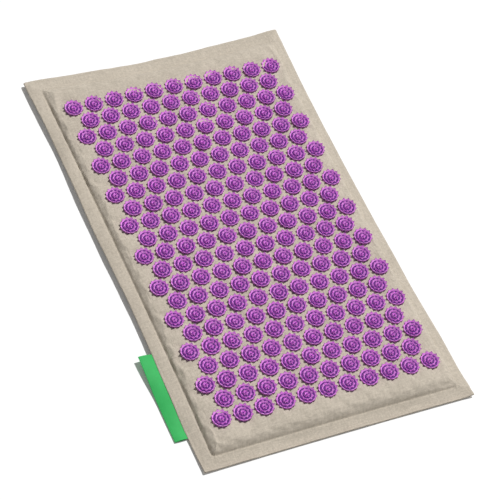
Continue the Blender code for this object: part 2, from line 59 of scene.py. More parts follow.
# %% Camera
CAMERA_PLACE = Vector((-1.2167, -1.6211, 2.6019))
CAMERA_AIM = Vector((-0.0069, -0.0383, 0.024))
CAMERA_ROLL = math.radians(17.13)
CAMERA_LENS = 158.4

view_line = (CAMERA_AIM - CAMERA_PLACE).normalized()
camera_data = bpy.data.cameras.new("camera")
camera_data.lens = CAMERA_LENS
camera = bpy.data.objects.new("camera", camera_data)
bpy.context.scene.collection.objects.link(camera)
upright = view_line.to_track_quat("-Z", "Y").to_matrix().to_4x4()
camera.matrix_world = Matrix.Translation(CAMERA_PLACE) @ upright @ Matrix.Rotation(CAMERA_ROLL, 4, "Z")
bpy.context.scene.camera = camera
print("camera looks along", tuple(round(v, 3) for v in view_line))

# %% [markdown]
# A few small helpers. An operator works on all that is selected, so one helper leaves a single object
# selected. Two more read and write all points of a mesh as one array, which is far quicker than a loop.

# %% Helpers
def only(piece):
    """Leaves one object selected and active."""
    bpy.ops.object.select_all(action="DESELECT")
    piece.select_set(True)
    bpy.context.view_layer.objects.active = piece
    return piece


def points_of(piece):
    flat = np.zeros(len(piece.data.vertices) * 3, np.float32)
    piece.data.vertices.foreach_get("co", flat)
    return flat.reshape(-1, 3).astype(float)


def put_points(piece, points):
    piece.data.vertices.foreach_set("co", points.astype(np.float32).ravel())
    piece.data.update()


def apply_modifiers(piece):
    only(piece)
    for modifier in list(piece.modifiers):
        bpy.ops.object.modifier_apply(modifier=modifier.name)


def smooth(piece, angle=math.radians(180)):
    only(piece)
    bpy.ops.object.shade_smooth_by_angle(angle=angle)


def dress(piece, finish, slot, *replaced, body="cover"):
    """Gives a finished piece its material and its body, and hides the frame's nodes that it replaces. The
    slot is not used.
    """
    piece.data.materials.clear()
    piece.data.materials.append(finish)
    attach(piece, body)
    if replaced:
        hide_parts(*replaced)
    print(f"{piece.name}: {len(piece.data.vertices)} points, {len(piece.data.polygons)} faces")


def joined_copies(pattern, places, name):
    """One mesh with a copy of the pattern at each place, a place being a 4 by 4 matrix."""
    points = np.hstack([points_of(pattern), np.ones((len(pattern.data.vertices), 1))])
    faces = [list(face.vertices) for face in pattern.data.polygons]
    all_points = np.vstack([(points @ np.array(place).T)[:, :3] for place in places])
    starts = [len(points) * number for number in range(len(places))]
    all_faces = [[corner + start for corner in face] for start in starts for face in faces]
    mesh = bpy.data.meshes.new(name)
    mesh.from_pydata(all_points.tolist(), [], all_faces)
    for attribute in pattern.data.attributes:
        if attribute.domain == "POINT" and attribute.data_type == "FLOAT":
            values = np.zeros(len(points), np.float32)
            attribute.data.foreach_get("value", values)
            copied = mesh.attributes.new(attribute.name, "FLOAT", "POINT")
            copied.data.foreach_set("value", np.tile(values, len(places)))
    mesh.shade_smooth()
    piece = bpy.data.objects.new(name, mesh)
    bpy.context.scene.collection.objects.link(piece)
    bpy.data.objects.remove(pattern)
    return piece


# %% [markdown]
# A smooth random field stands for all that is uneven in cloth: waves of the flange, puckers of a seam,
# soft hollows. It could be Blender's own noise, but a sum of a few sine waves in seeded directions is as
# good here, works on whole arrays, and gives the same result each run.

# %% Uneven fields
WAVE_SPREAD = (0.7, 1.5)
WAVE_SHARE = 0.7


def ripple(x, y, wavelength, seed, waves=7):
    """A smooth field from about -1 to 1 that changes over the given wavelength."""
    chance = np.random.default_rng(seed)
    field = np.zeros_like(x)
    for _ in range(waves):
        heading = chance.uniform(0, 2 * math.pi)
        number = 2 * math.pi / (wavelength * chance.uniform(*WAVE_SPREAD))
        start = chance.uniform(0, 2 * math.pi)
        field += np.sin(number * (x * math.cos(heading) + y * math.sin(heading)) + start)
    return field / math.sqrt(waves) * WAVE_SHARE


sample = ripple(np.linspace(0, 1, 1000), np.zeros(1000), 0.1, 1)
print("a ripple runs from", round(float(sample.min()), 2), "to", round(float(sample.max()), 2))

# %% [markdown]
# The cover is laid out from one plan: the flange's outline, and inside it the seam that closes the
# pocket. The seam's tension draws each side in between the corners, most at the far end. So every place
# is first written on a straight plan, and then drawn in by one formula that moves cloth, seam and
# stitches alike.

# %% Plan of the cover
MAT_HALF_X = 0.2145
MAT_HALF_Y = 0.3635
POCKET_X = 0.0019
POCKET_Y = 0.0
POCKET_HALF_X = 0.1961
POCKET_HALF_Y = 0.3402
POCKET_CORNER = 0.005
DRAW_LEFT, DRAW_RIGHT = 0.002, 0.0045
DRAW_NEAR, DRAW_FAR = 0.001, 0.0095
FLANGE_TRIM = 0.0045
CORNER_EAR = 0.0036
EDGE_SHIFT = 0.0008
EDGE_BOW = 0.0012
EDGE_BOW_LENGTH = 0.32
EDGE_BOW_START = 0.23


def pocket_shares(x, y):
    share_x = np.clip((x - POCKET_X) / POCKET_HALF_X, -1, 1)
    share_y = np.clip((y - POCKET_Y) / POCKET_HALF_Y, -1, 1)
    return share_x, share_y


def eased(share):
    """A share from 0 to 1 that starts and ends gently."""
    share = np.clip(share, 0, 1)
    return share * share * (3 - 2 * share)


def beyond_seam(far, seam, edge):
    """How far a place lies over the flange, from 0 at the seam to 1 at the edge."""
    return np.clip((far - seam) / (edge - seam), 0, 1)


def drawn_in(x, y):
    """Where a place of the straight plan lies, with the sides drawn in and the near flange trimmed."""
    share_x, share_y = pocket_shares(x, y)
    right = DRAW_RIGHT * (1 - share_y**2) - CORNER_EAR * share_y**4
    side = np.where(share_x > 0, right, DRAW_LEFT * (1 - share_y**2))
    end = np.where(share_y > 0, DRAW_FAR, DRAW_NEAR)
    bow = EDGE_SHIFT + EDGE_BOW * np.cos(2 * math.pi * (y - EDGE_BOW_START) / EDGE_BOW_LENGTH)
    left_flange = beyond_seam(-x, POCKET_HALF_X - POCKET_X, MAT_HALF_X)
    moved_x = x - side * share_x * abs(share_x) + bow * left_flange
    moved_y = y - end * share_y * abs(share_y) * (1 - share_x**2)
    return moved_x, moved_y + FLANGE_TRIM * beyond_seam(-y, POCKET_HALF_Y - POCKET_Y, MAT_HALF_Y)


def inside_seam(x, y):
    """How far inside the seam a place of the straight plan lies. It is negative on the flange."""
    over_x = abs(x - POCKET_X) - (POCKET_HALF_X - POCKET_CORNER)
    over_y = abs(y - POCKET_Y) - (POCKET_HALF_Y - POCKET_CORNER)
    outside = np.hypot(np.maximum(over_x, 0), np.maximum(over_y, 0))
    return POCKET_CORNER - outside - np.minimum(np.maximum(over_x, over_y), 0)


print("seam drawn in by", DRAW_FAR, "m at the far end")

# %% [markdown]
# The 221 discs stand in 21 rows, in turn 11 and 10 to a row, so that each has six neighbours at one
# pitch.

# %% Places of the discs
DISC_PITCH = 0.0335
DISC_ROWS = 21
DISC_COLUMNS = 11
FIELD_X = 0.0046
FIELD_Y = -0.0038


def disc_places():
    row_pitch = DISC_PITCH * math.sqrt(3) / 2
    for row in range(DISC_ROWS):
        count = DISC_COLUMNS - row % 2
        y = FIELD_Y + row_pitch * (row - (DISC_ROWS - 1) / 2)
        for column in range(count):
            yield FIELD_X + DISC_PITCH * (column - (count - 1) / 2), y


discs = np.array(list(disc_places()))
print(len(discs), "discs")

# %% [markdown]
# Materials are written as expressions. The class wraps a socket, so that `1 - mask * 0.3` adds the Math
# nodes that it says. Any other node comes from one method that takes its type, its settings and its
# inputs. It could all be linked by hand, but then a reader would see wires and not the pattern.

# %% Shader words
class Wire:
    """A socket's value in a node tree, for use in Python expressions."""

    def __init__(self, tree, socket):
        self.tree = tree
        self.socket = socket

    def math(self, operation, *values):
        return node(self.tree, "ShaderNodeMath", {"operation": operation}, values)

    def __add__(self, other):
        return self.math("ADD", self, other)

    def __radd__(self, other):
        return self.math("ADD", other, self)

    def __sub__(self, other):
        return self.math("SUBTRACT", self, other)

    def __rsub__(self, other):
        return self.math("SUBTRACT", other, self)

    def __mul__(self, other):
        return self.math("MULTIPLY", self, other)

    def __rmul__(self, other):
        return self.math("MULTIPLY", other, self)

    def __pow__(self, other):
        return self.math("POWER", self, other)

    def sine(self):
        return self.math("SINE", self)

    def size(self):
        return self.math("ABSOLUTE", self)

    def clamped(self):
        return node(self.tree, "ShaderNodeClamp", {}, [self])


def node(tree, kind, settings, values, output=0):
    """Adds a node, sets its settings first, then its sockets by number or name, and gives one output."""
    made = tree.nodes.new(kind)
    for key, value in settings.items():
        setattr(made, key, value)
    pairs = values.items() if isinstance(values, dict) else enumerate(values)
    for key, value in pairs:
        if isinstance(value, Wire):
            tree.links.new(value.socket, made.inputs[key])
        elif made.inputs[key].type == "RGBA":
            made.inputs[key].default_value = (*value, 1)
        else:
            made.inputs[key].default_value = value
    return Wire(tree, made.outputs[output])


MIX_A, MIX_B = 6, 7
MIX_COLOUR = 2


def mixed(tree, share, first, second):
    """A colour between two, by a share from 0 to 1."""
    settings = {"data_type": "RGBA"}
    return node(tree, "ShaderNodeMix", settings, {0: share, MIX_A: first, MIX_B: second}, MIX_COLOUR)


def piece_place(tree):
    """The place on a piece, in the object's own metres."""
    return node(tree, "ShaderNodeTexCoord", {}, [], "Object")


def cut_place(tree):
    """The place on a cloth's flat cut, in metres."""
    return node(tree, "ShaderNodeUVMap", {"uv_map": "cut"}, [])


def one_axis(tree, vector, axis):
    return node(tree, "ShaderNodeSeparateXYZ", {}, [vector], axis)


def new_material(name, constants):
    """A Principled material, with the constants on the shader's own sockets."""
    material = bpy.data.materials.new(name)
    material.use_nodes = True
    shader = material.node_tree.nodes["Principled BSDF"]
    for key, value in constants.items():
        shader.inputs[key].default_value = value
    return material, material.node_tree, shader


def feed(tree, shader, key, wire):
    tree.links.new(wire.socket, shader.inputs[key])


def noise(tree, vector, scale, detail=2.0, roughness=0.5):
    inputs = {"Vector": vector, "Scale": scale, "Detail": detail, "Roughness": roughness}
    return node(tree, "ShaderNodeTexNoise", {}, inputs, "Fac")


def stretched(tree, vector, scale):
    """The coordinates with each axis multiplied by its own number."""
    return node(tree, "ShaderNodeMapping", {}, {"Vector": vector, "Scale": scale})


def paint(tree, shader, share, first, second):
    """Colours the surface by a share, from 0 at the first colour to 1 at the second."""
    feed(tree, shader, "Base Color", mixed(tree, share.clamped(), first, second))


def emboss(tree, shader, height, strength, distance):
    """Gives the surface a fine relief, in metres."""
    inputs = {"Height": height, "Strength": strength, "Distance": distance}
    feed(tree, shader, "Normal", node(tree, "ShaderNodeBump", {}, inputs))


print("shader words:", ", ".join(word.__name__ for word in (node, mixed, noise, stretched, paint, emboss)))

# %% [markdown]
# Linen is a plain weave of uneven yarns, about 16 to the centimetre. Up close each yarn shows, with thick
# slubs here and there, and from a step away only a soft mottle is left. The pattern runs along the cloth,
# so it reads the cloth's own map, in metres of the flat cut, and bends with it over the wall of the pad.

# %% Linen
YARN = 0.00062
YARN_WANDER_SHARE = 1.2
YARN_RELIEF_SHARE = 0.35
SLUB_RUN_SCALE, SLUB_WIDTH_SCALE = 60, 1300
WANDER_SCALE = 90
MOTTLE_SCALE = 260
CLOUD_SCALE = 14
LINEN_LIGHT, LINEN_DARK = (0.67, 0.595, 0.495), (0.46, 0.405, 0.33)
BACK_LIGHT, BACK_DARK = (0.65, 0.575, 0.47), (0.44, 0.385, 0.31)


def linen(name, light, dark):
    constants = {"Roughness": 0.9, "Specular IOR Level": 0.25}
    constants |= {"Sheen Weight": 0.12, "Sheen Roughness": 0.5}
    material, tree, shader = new_material(name, constants)
    cut = cut_place(tree)
    wander = (noise(tree, cut, WANDER_SCALE, 3) - 0.5) * YARN * YARN_WANDER_SHARE
    warp = ((one_axis(tree, cut, "X") + wander) * (math.pi / YARN)).sine()
    weft = ((one_axis(tree, cut, "Y") + wander) * (math.pi / YARN)).sine()
    over = warp * weft * 0.5 + 0.5
    weave = warp.size() * over + weft.size() * (1 - over)
    warp_slubs = noise(tree, stretched(tree, cut, (SLUB_WIDTH_SCALE, SLUB_RUN_SCALE, 1)), 1)
    weft_slubs = noise(tree, stretched(tree, cut, (SLUB_RUN_SCALE, SLUB_WIDTH_SCALE, 1)), 1)
    slubs = warp_slubs + weft_slubs
    mottle = noise(tree, cut, MOTTLE_SCALE, 4, 0.6)
    cloud = noise(tree, cut, CLOUD_SCALE, 3)
    tone = (slubs - 1.0) * 1.2 + (mottle - 0.5) * 1.6 + (cloud - 0.5) * 0.9 + (weave - 0.6) * 0.35 + 0.5
    paint(tree, shader, tone, dark, light)
    emboss(tree, shader, weave + (slubs - 1.0) * 1.5, 0.55, YARN * YARN_RELIEF_SHARE)
    return material


TOP_LINEN = linen("linen", LINEN_LIGHT, LINEN_DARK)
BACK_LINEN = linen("back_linen", BACK_LIGHT, BACK_DARK)
print("linen with", round(0.01 / YARN), "yarns to the centimetre")

# %% [markdown]
# The discs are a glossy violet plastic. Shade is painted into the colour: a point attribute named depth,
# written when the disc is modelled, darkens the feet of the petals, the notches between them, the plate
# and the tips of the outer crown, and it also makes those places rougher.

# %% Lotus plastic
LOTUS_PINK = (1.0, 0.51, 1.0)
LOTUS_VIOLET = (0.97, 0.25, 1.0)
# painted shade: the dark violet that the hollows, notches and outer tips are painted in
LOTUS_PAINTED_SHADE = (0.08, 0.001, 0.15)
STREAK_SCALE, FLOW_SCALE = 700, 260
PAINTED_SHADE_POWER = 2.4


def lotus_plastic():
    material, tree, shader = new_material("lotus_plastic", {"IOR": 1.46, "Specular IOR Level": 0.2})
    # painted shade: the attribute named depth runs from 0 for the full colour to 1 for the darkest shade
    depth = node(tree, "ShaderNodeAttribute", {"attribute_name": "depth"}, [], "Fac")
    place = piece_place(tree)
    streak = noise(tree, place, STREAK_SCALE)
    flow = noise(tree, place, FLOW_SCALE)
    crest = mixed(tree, ((flow - 0.5) * 2.4 + 0.5).clamped(), LOTUS_PINK, LOTUS_VIOLET)
    # painted shade: the colour is mixed towards the dark violet where the attribute depth is high
    paint(tree, shader, depth**PAINTED_SHADE_POWER + (streak - 0.5) * 0.3, crest, LOTUS_PAINTED_SHADE)
    feed(tree, shader, "Roughness", 0.28 + (streak - 0.5) * 0.16 + depth * 0.3)
    emboss(tree, shader, streak, 0.12, 0.0002)
    return material


LOTUS = lotus_plastic()
print("plastic from", LOTUS_PINK, "and", LOTUS_VIOLET, "to", LOTUS_PAINTED_SHADE)

# %% [markdown]
# A sewn cloth starts as its flat cut: a grid with close lines round the seam and wider ones elsewhere.
# The cloth's map keeps the flat cut's own metres, so the weave isn't stretched where the cloth climbs the
# wall.

# %% Flat cut
def grid_lines(stops, counts):
    """Places of grid lines that share out each stretch between two stops in equal steps."""
    stretches = [np.linspace(a, b, n, endpoint=False) for a, b, n in zip(stops[:-1], stops[1:], counts)]
    return np.concatenate([*stretches, [stops[-1]]])


def flat_cut(name, x_lines, y_lines, x_cut, y_cut):
    """A grid on the straight plan, with the flat cut's metres as its map."""
    columns, rows = len(x_lines) - 1, len(y_lines) - 1
    bpy.ops.mesh.primitive_grid_add(x_subdivisions=columns, y_subdivisions=rows, size=1, calc_uvs=False)
    cloth = bpy.context.object
    cloth.name = cloth.data.name = name
    share = points_of(cloth) + 0.5
    column = np.rint(share[:, 0] * columns).astype(int)
    row = np.rint(share[:, 1] * rows).astype(int)
    put_points(cloth, np.column_stack([x_lines[column], y_lines[row], np.zeros(len(share))]))
    corners = np.zeros(len(cloth.data.loops), np.int32)
    cloth.data.loops.foreach_get("vertex_index", corners)
    cut = np.column_stack([x_cut[column], y_cut[row]])[corners]
    cloth.data.uv_layers.new(name="cut").data.foreach_set("uv", cut.astype(np.float32).ravel())
    return cloth


def walked(lines, heights):
    """How far along the cloth each grid line lies, walls included."""
    return np.concatenate([[0], np.cumsum(np.hypot(np.diff(lines), np.diff(heights)))])


def panel_cut(name, x_lines, y_lines, height):
    """A panel's flat cut. Its map is walked along the two middle lines of the pocket."""
    return flat_cut(
        name, x_lines, y_lines,
        walked(x_lines, height(x_lines, np.full_like(x_lines, POCKET_Y))),
        walked(y_lines, height(np.full_like(y_lines, POCKET_X), y_lines)),
    )


print("grid lines of a stretch of 1 in 4 steps:", grid_lines([0, 1], [4]).tolist())

# %% [markdown]
# The top cloth is held flat in the flange, climbs a steep rounded wall at the seam and lies over the
# foam, which lifts it to a low crown. Its height is one formula on the distance inside the seam. The
# flange waves a little, as two plies of linen do, and droops: nearly to the floor at the near end, less
# at the other sides.

# %% Waves and droop of the flange
NEAR_ZONE = 0.1
NEAR_DIP = 0.0035
FLANGE_WIDTH = 0.019
FLANGE_SPLAY, FLANGE_SPLAY_MOST = 0.0007, 1.3
FLANGE_WAVE, FLANGE_WAVE_LENGTH = 0.0008, 0.11
FINE_WAVE, FINE_WAVE_LENGTH = 0.0003, 0.03
DROOP_NEAR = 0.0055
DROOP_LEFT, DROOP_LEFT_END = 0.003, 0.0062
DROOP_RIGHT = 0.0036
DROOP_FAR = 0.0026
DROOP_MOST = 0.0086
DROOP_POWER = 1.2
DROOP_WAVE, DROOP_WAVE_LENGTH = 0.16, 0.09
CORNER_LIFT = 0.0018
CORNER_LIFT_POWER = 1.5
CORNER_REACH = 0.04


def near_end(x, y):
    """1 at the near end of the pocket and on its flange, fading to 0 further in."""
    return eased((POCKET_Y - POCKET_HALF_Y + NEAR_ZONE - y) / NEAR_ZONE)


def droop(x, y):
    """How far the flange sinks. All four sides droop, and at a corner the deeper one wins."""
    near = beyond_seam(-y, POCKET_HALF_Y - POCKET_Y, MAT_HALF_Y)
    left = beyond_seam(-x, POCKET_HALF_X - POCKET_X, MAT_HALF_X)
    right = beyond_seam(x, POCKET_HALF_X + POCKET_X, MAT_HALF_X)
    far = beyond_seam(y, POCKET_HALF_Y + POCKET_Y, MAT_HALF_Y)
    left_end = eased(-y / POCKET_HALF_Y)
    left_depth = DROOP_LEFT + (DROOP_LEFT_END - DROOP_LEFT) * left_end**3
    depths = (
        DROOP_NEAR * (1 - (1 - near) ** 2),
        left_depth * left ** (2 - 0.8 * left_end),
        DROOP_RIGHT * right**DROOP_POWER,
        DROOP_FAR * far**DROOP_POWER,
    )
    deepest = sum(depth**3 for depth in depths) ** (1 / 3)
    return deepest * (1 + DROOP_WAVE * ripple(x, y, DROOP_WAVE_LENGTH, 8))


def corner_lift(x, y):
    """How far the tips of the corners turn up. The far left one lies flat."""
    from_tip = np.hypot(MAT_HALF_X - abs(x), MAT_HALF_Y - abs(y))
    turned_up = np.clip(1 - from_tip / CORNER_REACH, 0, 1) ** CORNER_LIFT_POWER
    return CORNER_LIFT * turned_up * np.where((x < 0) & (y > 0), 0, 1)


def flange_wave(x, y):
    """How far the flange lies above the seam, or below it where the number is negative."""
    loose = np.clip(-inside_seam(x, y) / FLANGE_WIDTH, 0, FLANGE_SPLAY_MOST)
    long_wave = FLANGE_WAVE * ripple(x, y, FLANGE_WAVE_LENGTH, 5)
    waves = long_wave + FINE_WAVE * ripple(x, y, FINE_WAVE_LENGTH, 6)
    sunk = droop(x, y) + NEAR_DIP * near_end(x, y)
    return loose * (FLANGE_SPLAY + waves) + corner_lift(x, y) - np.minimum(sunk, DROOP_MOST)


near_edge = np.linspace(-MAT_HALF_X, MAT_HALF_X, 200)
near_sink = flange_wave(near_edge, np.full(200, -MAT_HALF_Y))
print("the near edge lies", round(float(-near_sink.mean()) * 1000, 1), "mm below the seam")

# %% Height of the top cloth
TOP_SEAM_Z = 0.01165
PAD_TOP_Z = 0.0194
CROWN = 0.0022
WALL_RUN, NEAR_WALL_RUN = 0.009, 0.0125
WALL_POWER = 2.1
CORNER_SLACK = 1.1
CORNER_ZONE = 0.045


def wall_share(x, y):
    """Share of the wall's height at a place. The wall is broader at the near end and in slack corners."""
    run = WALL_RUN + (NEAR_WALL_RUN - WALL_RUN) * near_end(x, y)
    from_corner = np.hypot(POCKET_HALF_X - abs(x - POCKET_X), POCKET_HALF_Y - abs(y - POCKET_Y))
    slack = eased(1 - from_corner / CORNER_ZONE) * np.where((x < 0) & (y < 0), 0, 1)
    run = run * (1 + CORNER_SLACK * slack)
    return 1 - (1 - np.clip(inside_seam(x, y) / run, 0, 1)) ** WALL_POWER


def top_height(x, y):
    inside = inside_seam(x, y)
    share_x, share_y = pocket_shares(x, y)
    crown = CROWN * (1 - share_x**2) * (1 - share_y**4)
    seam = TOP_SEAM_Z - NEAR_DIP * near_end(x, y)
    rise = (PAD_TOP_Z - seam) * wall_share(x, y)
    return np.where(inside > 0, seam + rise + crown, TOP_SEAM_Z + flange_wave(x, y))


centre = np.zeros(1)
print("the cloth's crown lies at", round(float(top_height(centre, centre)[0]), 4), "m")

# %% [markdown]
# The foam pushes the cloth up between its seam and the discs, which hold it down. That is simulated: the
# cut is a little too large for its place, and pressure from below fills it, while the flange, the seam
# and the spots under the discs stay pinned. The result is applied, with a cap on how far a point may
# move, and then the mesh is divided once more.

# %% Simulated cloth
DISC_HOLD = 0.0105
DISC_HOLD_FADE_SHARE = 0.25
SEAM_HOLD = 0.002
SETTLE_STEPS = 18
SETTLE_CAP = 0.0022
LINEN_BEHAVIOUR = {
    "quality": 4,
    "mass": 0.15,
    "tension_stiffness": 20,
    "compression_stiffness": 20,
    "bending_stiffness": 0.6,
    "shrink_min": -0.012,
    "use_pressure": True,
    "uniform_pressure_force": 1.5,
}


def near_disc(x, y, reach):
    """1 at places under a disc, fading to 0 at the given distance from its middle."""
    nearest = np.full(len(x), np.inf)
    for disc_x, disc_y in discs:
        nearest = np.minimum(nearest, np.hypot(x - disc_x, y - disc_y))
    return np.clip((reach - nearest) / (reach * DISC_HOLD_FADE_SHARE), 0, 1)


def settle(cloth, held):
    """Simulates the cloth under pressure with some points held, and applies the result."""
    rest = points_of(cloth)
    group = cloth.vertex_groups.new(name="held")
    for index in np.nonzero(held > 0)[0]:
        group.add([int(index)], float(held[index]), "REPLACE")
    simulation = cloth.modifiers.new("cloth", "CLOTH")
    for key, value in LINEN_BEHAVIOUR.items():
        setattr(simulation.settings, key, value)
    simulation.settings.vertex_group_mass = group.name
    simulation.settings.effector_weights.gravity = 0
    simulation.collision_settings.use_collision = False
    simulation.point_cache.frame_end = SETTLE_STEPS
    for step in range(1, SETTLE_STEPS + 1):
        bpy.context.scene.frame_set(step)
    apply_modifiers(cloth)
    bpy.context.scene.frame_set(1)
    moved = points_of(cloth) - rest
    far = np.linalg.norm(moved, axis=1, keepdims=True)
    put_points(cloth, rest + moved * np.minimum(1, SETTLE_CAP / np.maximum(far, 1e-9)))
    cloth.vertex_groups.clear()
    print(f"{cloth.name} moved by up to {far.max() * 1000:.1f} mm, capped at {SETTLE_CAP * 1000:.1f} mm")


def divide(cloth):
    modifier = cloth.modifiers.new("divide", "SUBSURF")
    modifier.levels = modifier.render_levels = 1
    apply_modifiers(cloth)

# %% Top cloth
POCKET_LEFT, POCKET_RIGHT = POCKET_X - POCKET_HALF_X, POCKET_X + POCKET_HALF_X
POCKET_NEAR, POCKET_FAR = POCKET_Y - POCKET_HALF_Y, POCKET_Y + POCKET_HALF_Y
WALL_ZONE = 0.013

x_lines = grid_lines(
    [-MAT_HALF_X, POCKET_LEFT, POCKET_LEFT + WALL_ZONE,
     POCKET_RIGHT - WALL_ZONE, POCKET_RIGHT, MAT_HALF_X],
    [7, 8, 84, 8, 7],
)
y_lines = grid_lines(
    [-MAT_HALF_Y, POCKET_NEAR, POCKET_NEAR + WALL_ZONE,
     POCKET_FAR - WALL_ZONE, POCKET_FAR, MAT_HALF_Y],
    [9, 8, 150, 8, 9],
)


def wavy_height(cloth):
    """Lifts the top's flat cut to its height, and draws it in by the seam's tension."""
    x, y = points_of(cloth)[:, :2].T
    put_points(cloth, np.column_stack([*drawn_in(x, y), top_height(x, y)]))
    return x, y


top_cloth = panel_cut("top_cloth", x_lines, y_lines, top_height)
plan_x, plan_y = wavy_height(top_cloth)
held = np.maximum(inside_seam(plan_x, plan_y) < SEAM_HOLD, near_disc(plan_x, plan_y, DISC_HOLD))
settle(top_cloth, held)
divide(top_cloth)
print("the top cloth has", len(top_cloth.data.polygons), "faces")

# %% [markdown]
# Finer than a simulation's grid are the marks of the needle: the seam's thread pulls the cloth into a
# narrow crease, puckers run from it up the wall, and at each corner of the pocket the cloth's fullness
# makes a few short pleats. They are added by moving points along the same distances. At its edge the
# cloth is turned under.

# %% Creases and the turned edge
CREASE_DEPTH = 0.0013
CREASE_HALF = 0.0012
PUCKER = 0.00035
PUCKER_LENGTH = 0.012
PUCKER_START, PUCKER_REACH = 0.0015, 0.008
PLEAT = 0.0003
PLEAT_REACH = 0.006
PLEATS_IN_A_TURN = 9
SEAM_SLACK = 0.85
SLACK_FROM_X_SHARE, SLACK_FROM_Y_SHARE = 0.9, 0.94
HEM_DROP = 0.0009
HEM_STEPS = (
    # share of the drop, and how far the edge runs back inside
    (0.55, -0.0002),
    (0.45, 0.0004),
    (0, 0.007),
)


def plan_of(x, y):
    """The straight plan's place of a drawn-in one, found in a few steps."""
    plan_x, plan_y = x.copy(), y.copy()
    for _ in range(4):
        now_x, now_y = drawn_in(plan_x, plan_y)
        plan_x, plan_y = plan_x + x - now_x, plan_y + y - now_y
    return plan_x, plan_y


def seam_pull(x, y):
    """How hard the seam's thread pulls: fully at the left and near sides, less at the others."""
    share_x, share_y = pocket_shares(x, y)
    slack_right = eased((share_x - SLACK_FROM_X_SHARE) / (1 - SLACK_FROM_X_SHARE))
    slack_far = eased((share_y - SLACK_FROM_Y_SHARE) / (1 - SLACK_FROM_Y_SHARE))
    return 1 - SEAM_SLACK * np.maximum(slack_right, slack_far)


def needle_marks(cloth, upwards):
    """Adds crease, puckers and corner pleats to a cloth whose seam side faces up or down."""
    points = points_of(cloth)
    x, y = plan_of(points[:, 0], points[:, 1])
    inside = inside_seam(x, y)
    pull = seam_pull(x, y)
    crease = np.exp(-(inside / CREASE_HALF) ** 2) * CREASE_DEPTH * pull
    near_seam = np.exp(-(inside / PUCKER_REACH) ** 2) * (1 - np.exp(-(inside / PUCKER_START) ** 2))
    from_side = abs(abs(x - POCKET_X) - POCKET_HALF_X)
    from_end = abs(abs(y - POCKET_Y) - POCKET_HALF_Y)
    run = np.where(from_side > from_end, x, y)
    pucker = ripple(run, run * 0, PUCKER_LENGTH, 11) * near_seam * PUCKER
    corner_x = abs(x - POCKET_X) - (POCKET_HALF_X - POCKET_CORNER)
    corner_y = abs(y - POCKET_Y) - (POCKET_HALF_Y - POCKET_CORNER)
    from_corner = np.hypot(corner_x, corner_y)
    fan = np.arctan2(corner_y, corner_x)
    folds = np.cos(fan * PLEATS_IN_A_TURN)
    pleat = folds * np.exp(-((from_corner - POCKET_CORNER) / PLEAT_REACH) ** 2) * PLEAT
    points[:, 2] = np.maximum(points[:, 2] + upwards * (pucker * pull + pleat - crease), 0)
    put_points(cloth, points)


def turn_edge(cloth, upwards):
    """Turns the outer edge under: a short rounded drop, and a strip that runs back inside."""
    only(cloth)
    bpy.ops.object.mode_set(mode="EDIT")
    bpy.ops.mesh.select_mode(type="EDGE")
    bpy.ops.mesh.select_all(action="DESELECT")
    bpy.ops.mesh.select_non_manifold(extend=False, use_wire=False, use_multi_face=False, use_verts=False)
    for share, turn in HEM_STEPS:
        drop = (0, 0, -upwards * (HEM_DROP * share))
        bpy.ops.mesh.extrude_edges_move(TRANSFORM_OT_translate={"value": drop})
        shrink = (1 - turn / MAT_HALF_X, 1 - turn / MAT_HALF_Y, 1)
        bpy.ops.transform.resize(value=shrink, center_override=(0, 0, 0))
    bpy.ops.object.mode_set(mode="OBJECT")


needle_marks(top_cloth, 1)
turn_edge(top_cloth, 1)
smooth(top_cloth)
dress(top_cloth, TOP_LINEN, "linen", "flower_panel")

# %% [markdown]
# One lotus disc is modelled and then copied 221 times, so each petal has only three faces: a wide one
# towards the middle, and two outside that meet in a keel. A petal starts as a grid of two by two. Its
# middle row is lifted to be the crest, and the crest's own middle is drawn up and out to a tip. Copies in
# a circle make a crown, and three crowns stand on a round plate. A petal with a rounded back would take
# four times the faces, and at arm's length nobody could tell.

# %% One petal
DISC_SINK = 0.0006
CROWNS = (
    # petals, turn in petals, painted shade of crest and tip,
    # radius of inner foot, crest, tip and outer foot, height of crest and tip
    (12, 0.0, 0.10, 0.90, 0.0109, 0.0124, 0.0152, 0.0138, 0.0028, 0.0048),
    (9, 0.5, 0.40, 0.0, 0.0054, 0.0071, 0.0090, 0.0099, 0.0022, 0.0049),
    (6, 0.2, 0.30, 0.0, 0.0005, 0.0020, 0.0036, 0.0047, 0.0024, 0.0050),
)
FOOT_ROW, CREST_ROW, OUTER_ROW = (0, 3, 6), (1, 4, 7), (2, 5, 8)
TIP, FOOT_MIDDLE = 4, 3


def write_painted_shade(piece, depths):
    """Writes the painted shade of each point as the attribute depth, from 0 for the full colour to 1 for
    the darkest shade.
    """
    depth = piece.data.attributes.new("depth", "FLOAT", "POINT")
    depth.data.foreach_set("value", np.asarray(depths, np.float32))


def pick(piece, kind, chosen):
    """Selects in edit mode the points, edges or faces of a mesh that a test chooses."""
    bpy.ops.mesh.select_mode(type=kind)
    bpy.ops.mesh.select_all(action="DESELECT")
    mesh = bmesh.from_edit_mesh(piece.data)
    for part in {"VERT": mesh.verts, "EDGE": mesh.edges, "FACE": mesh.faces}[kind]:
        if chosen(part):
            part.select_set(True)
    mesh.select_flush_mode()
    bmesh.update_edit_mesh(piece.data)


def pick_points(piece, numbers):
    pick(piece, "VERT", lambda point: point.index in numbers)


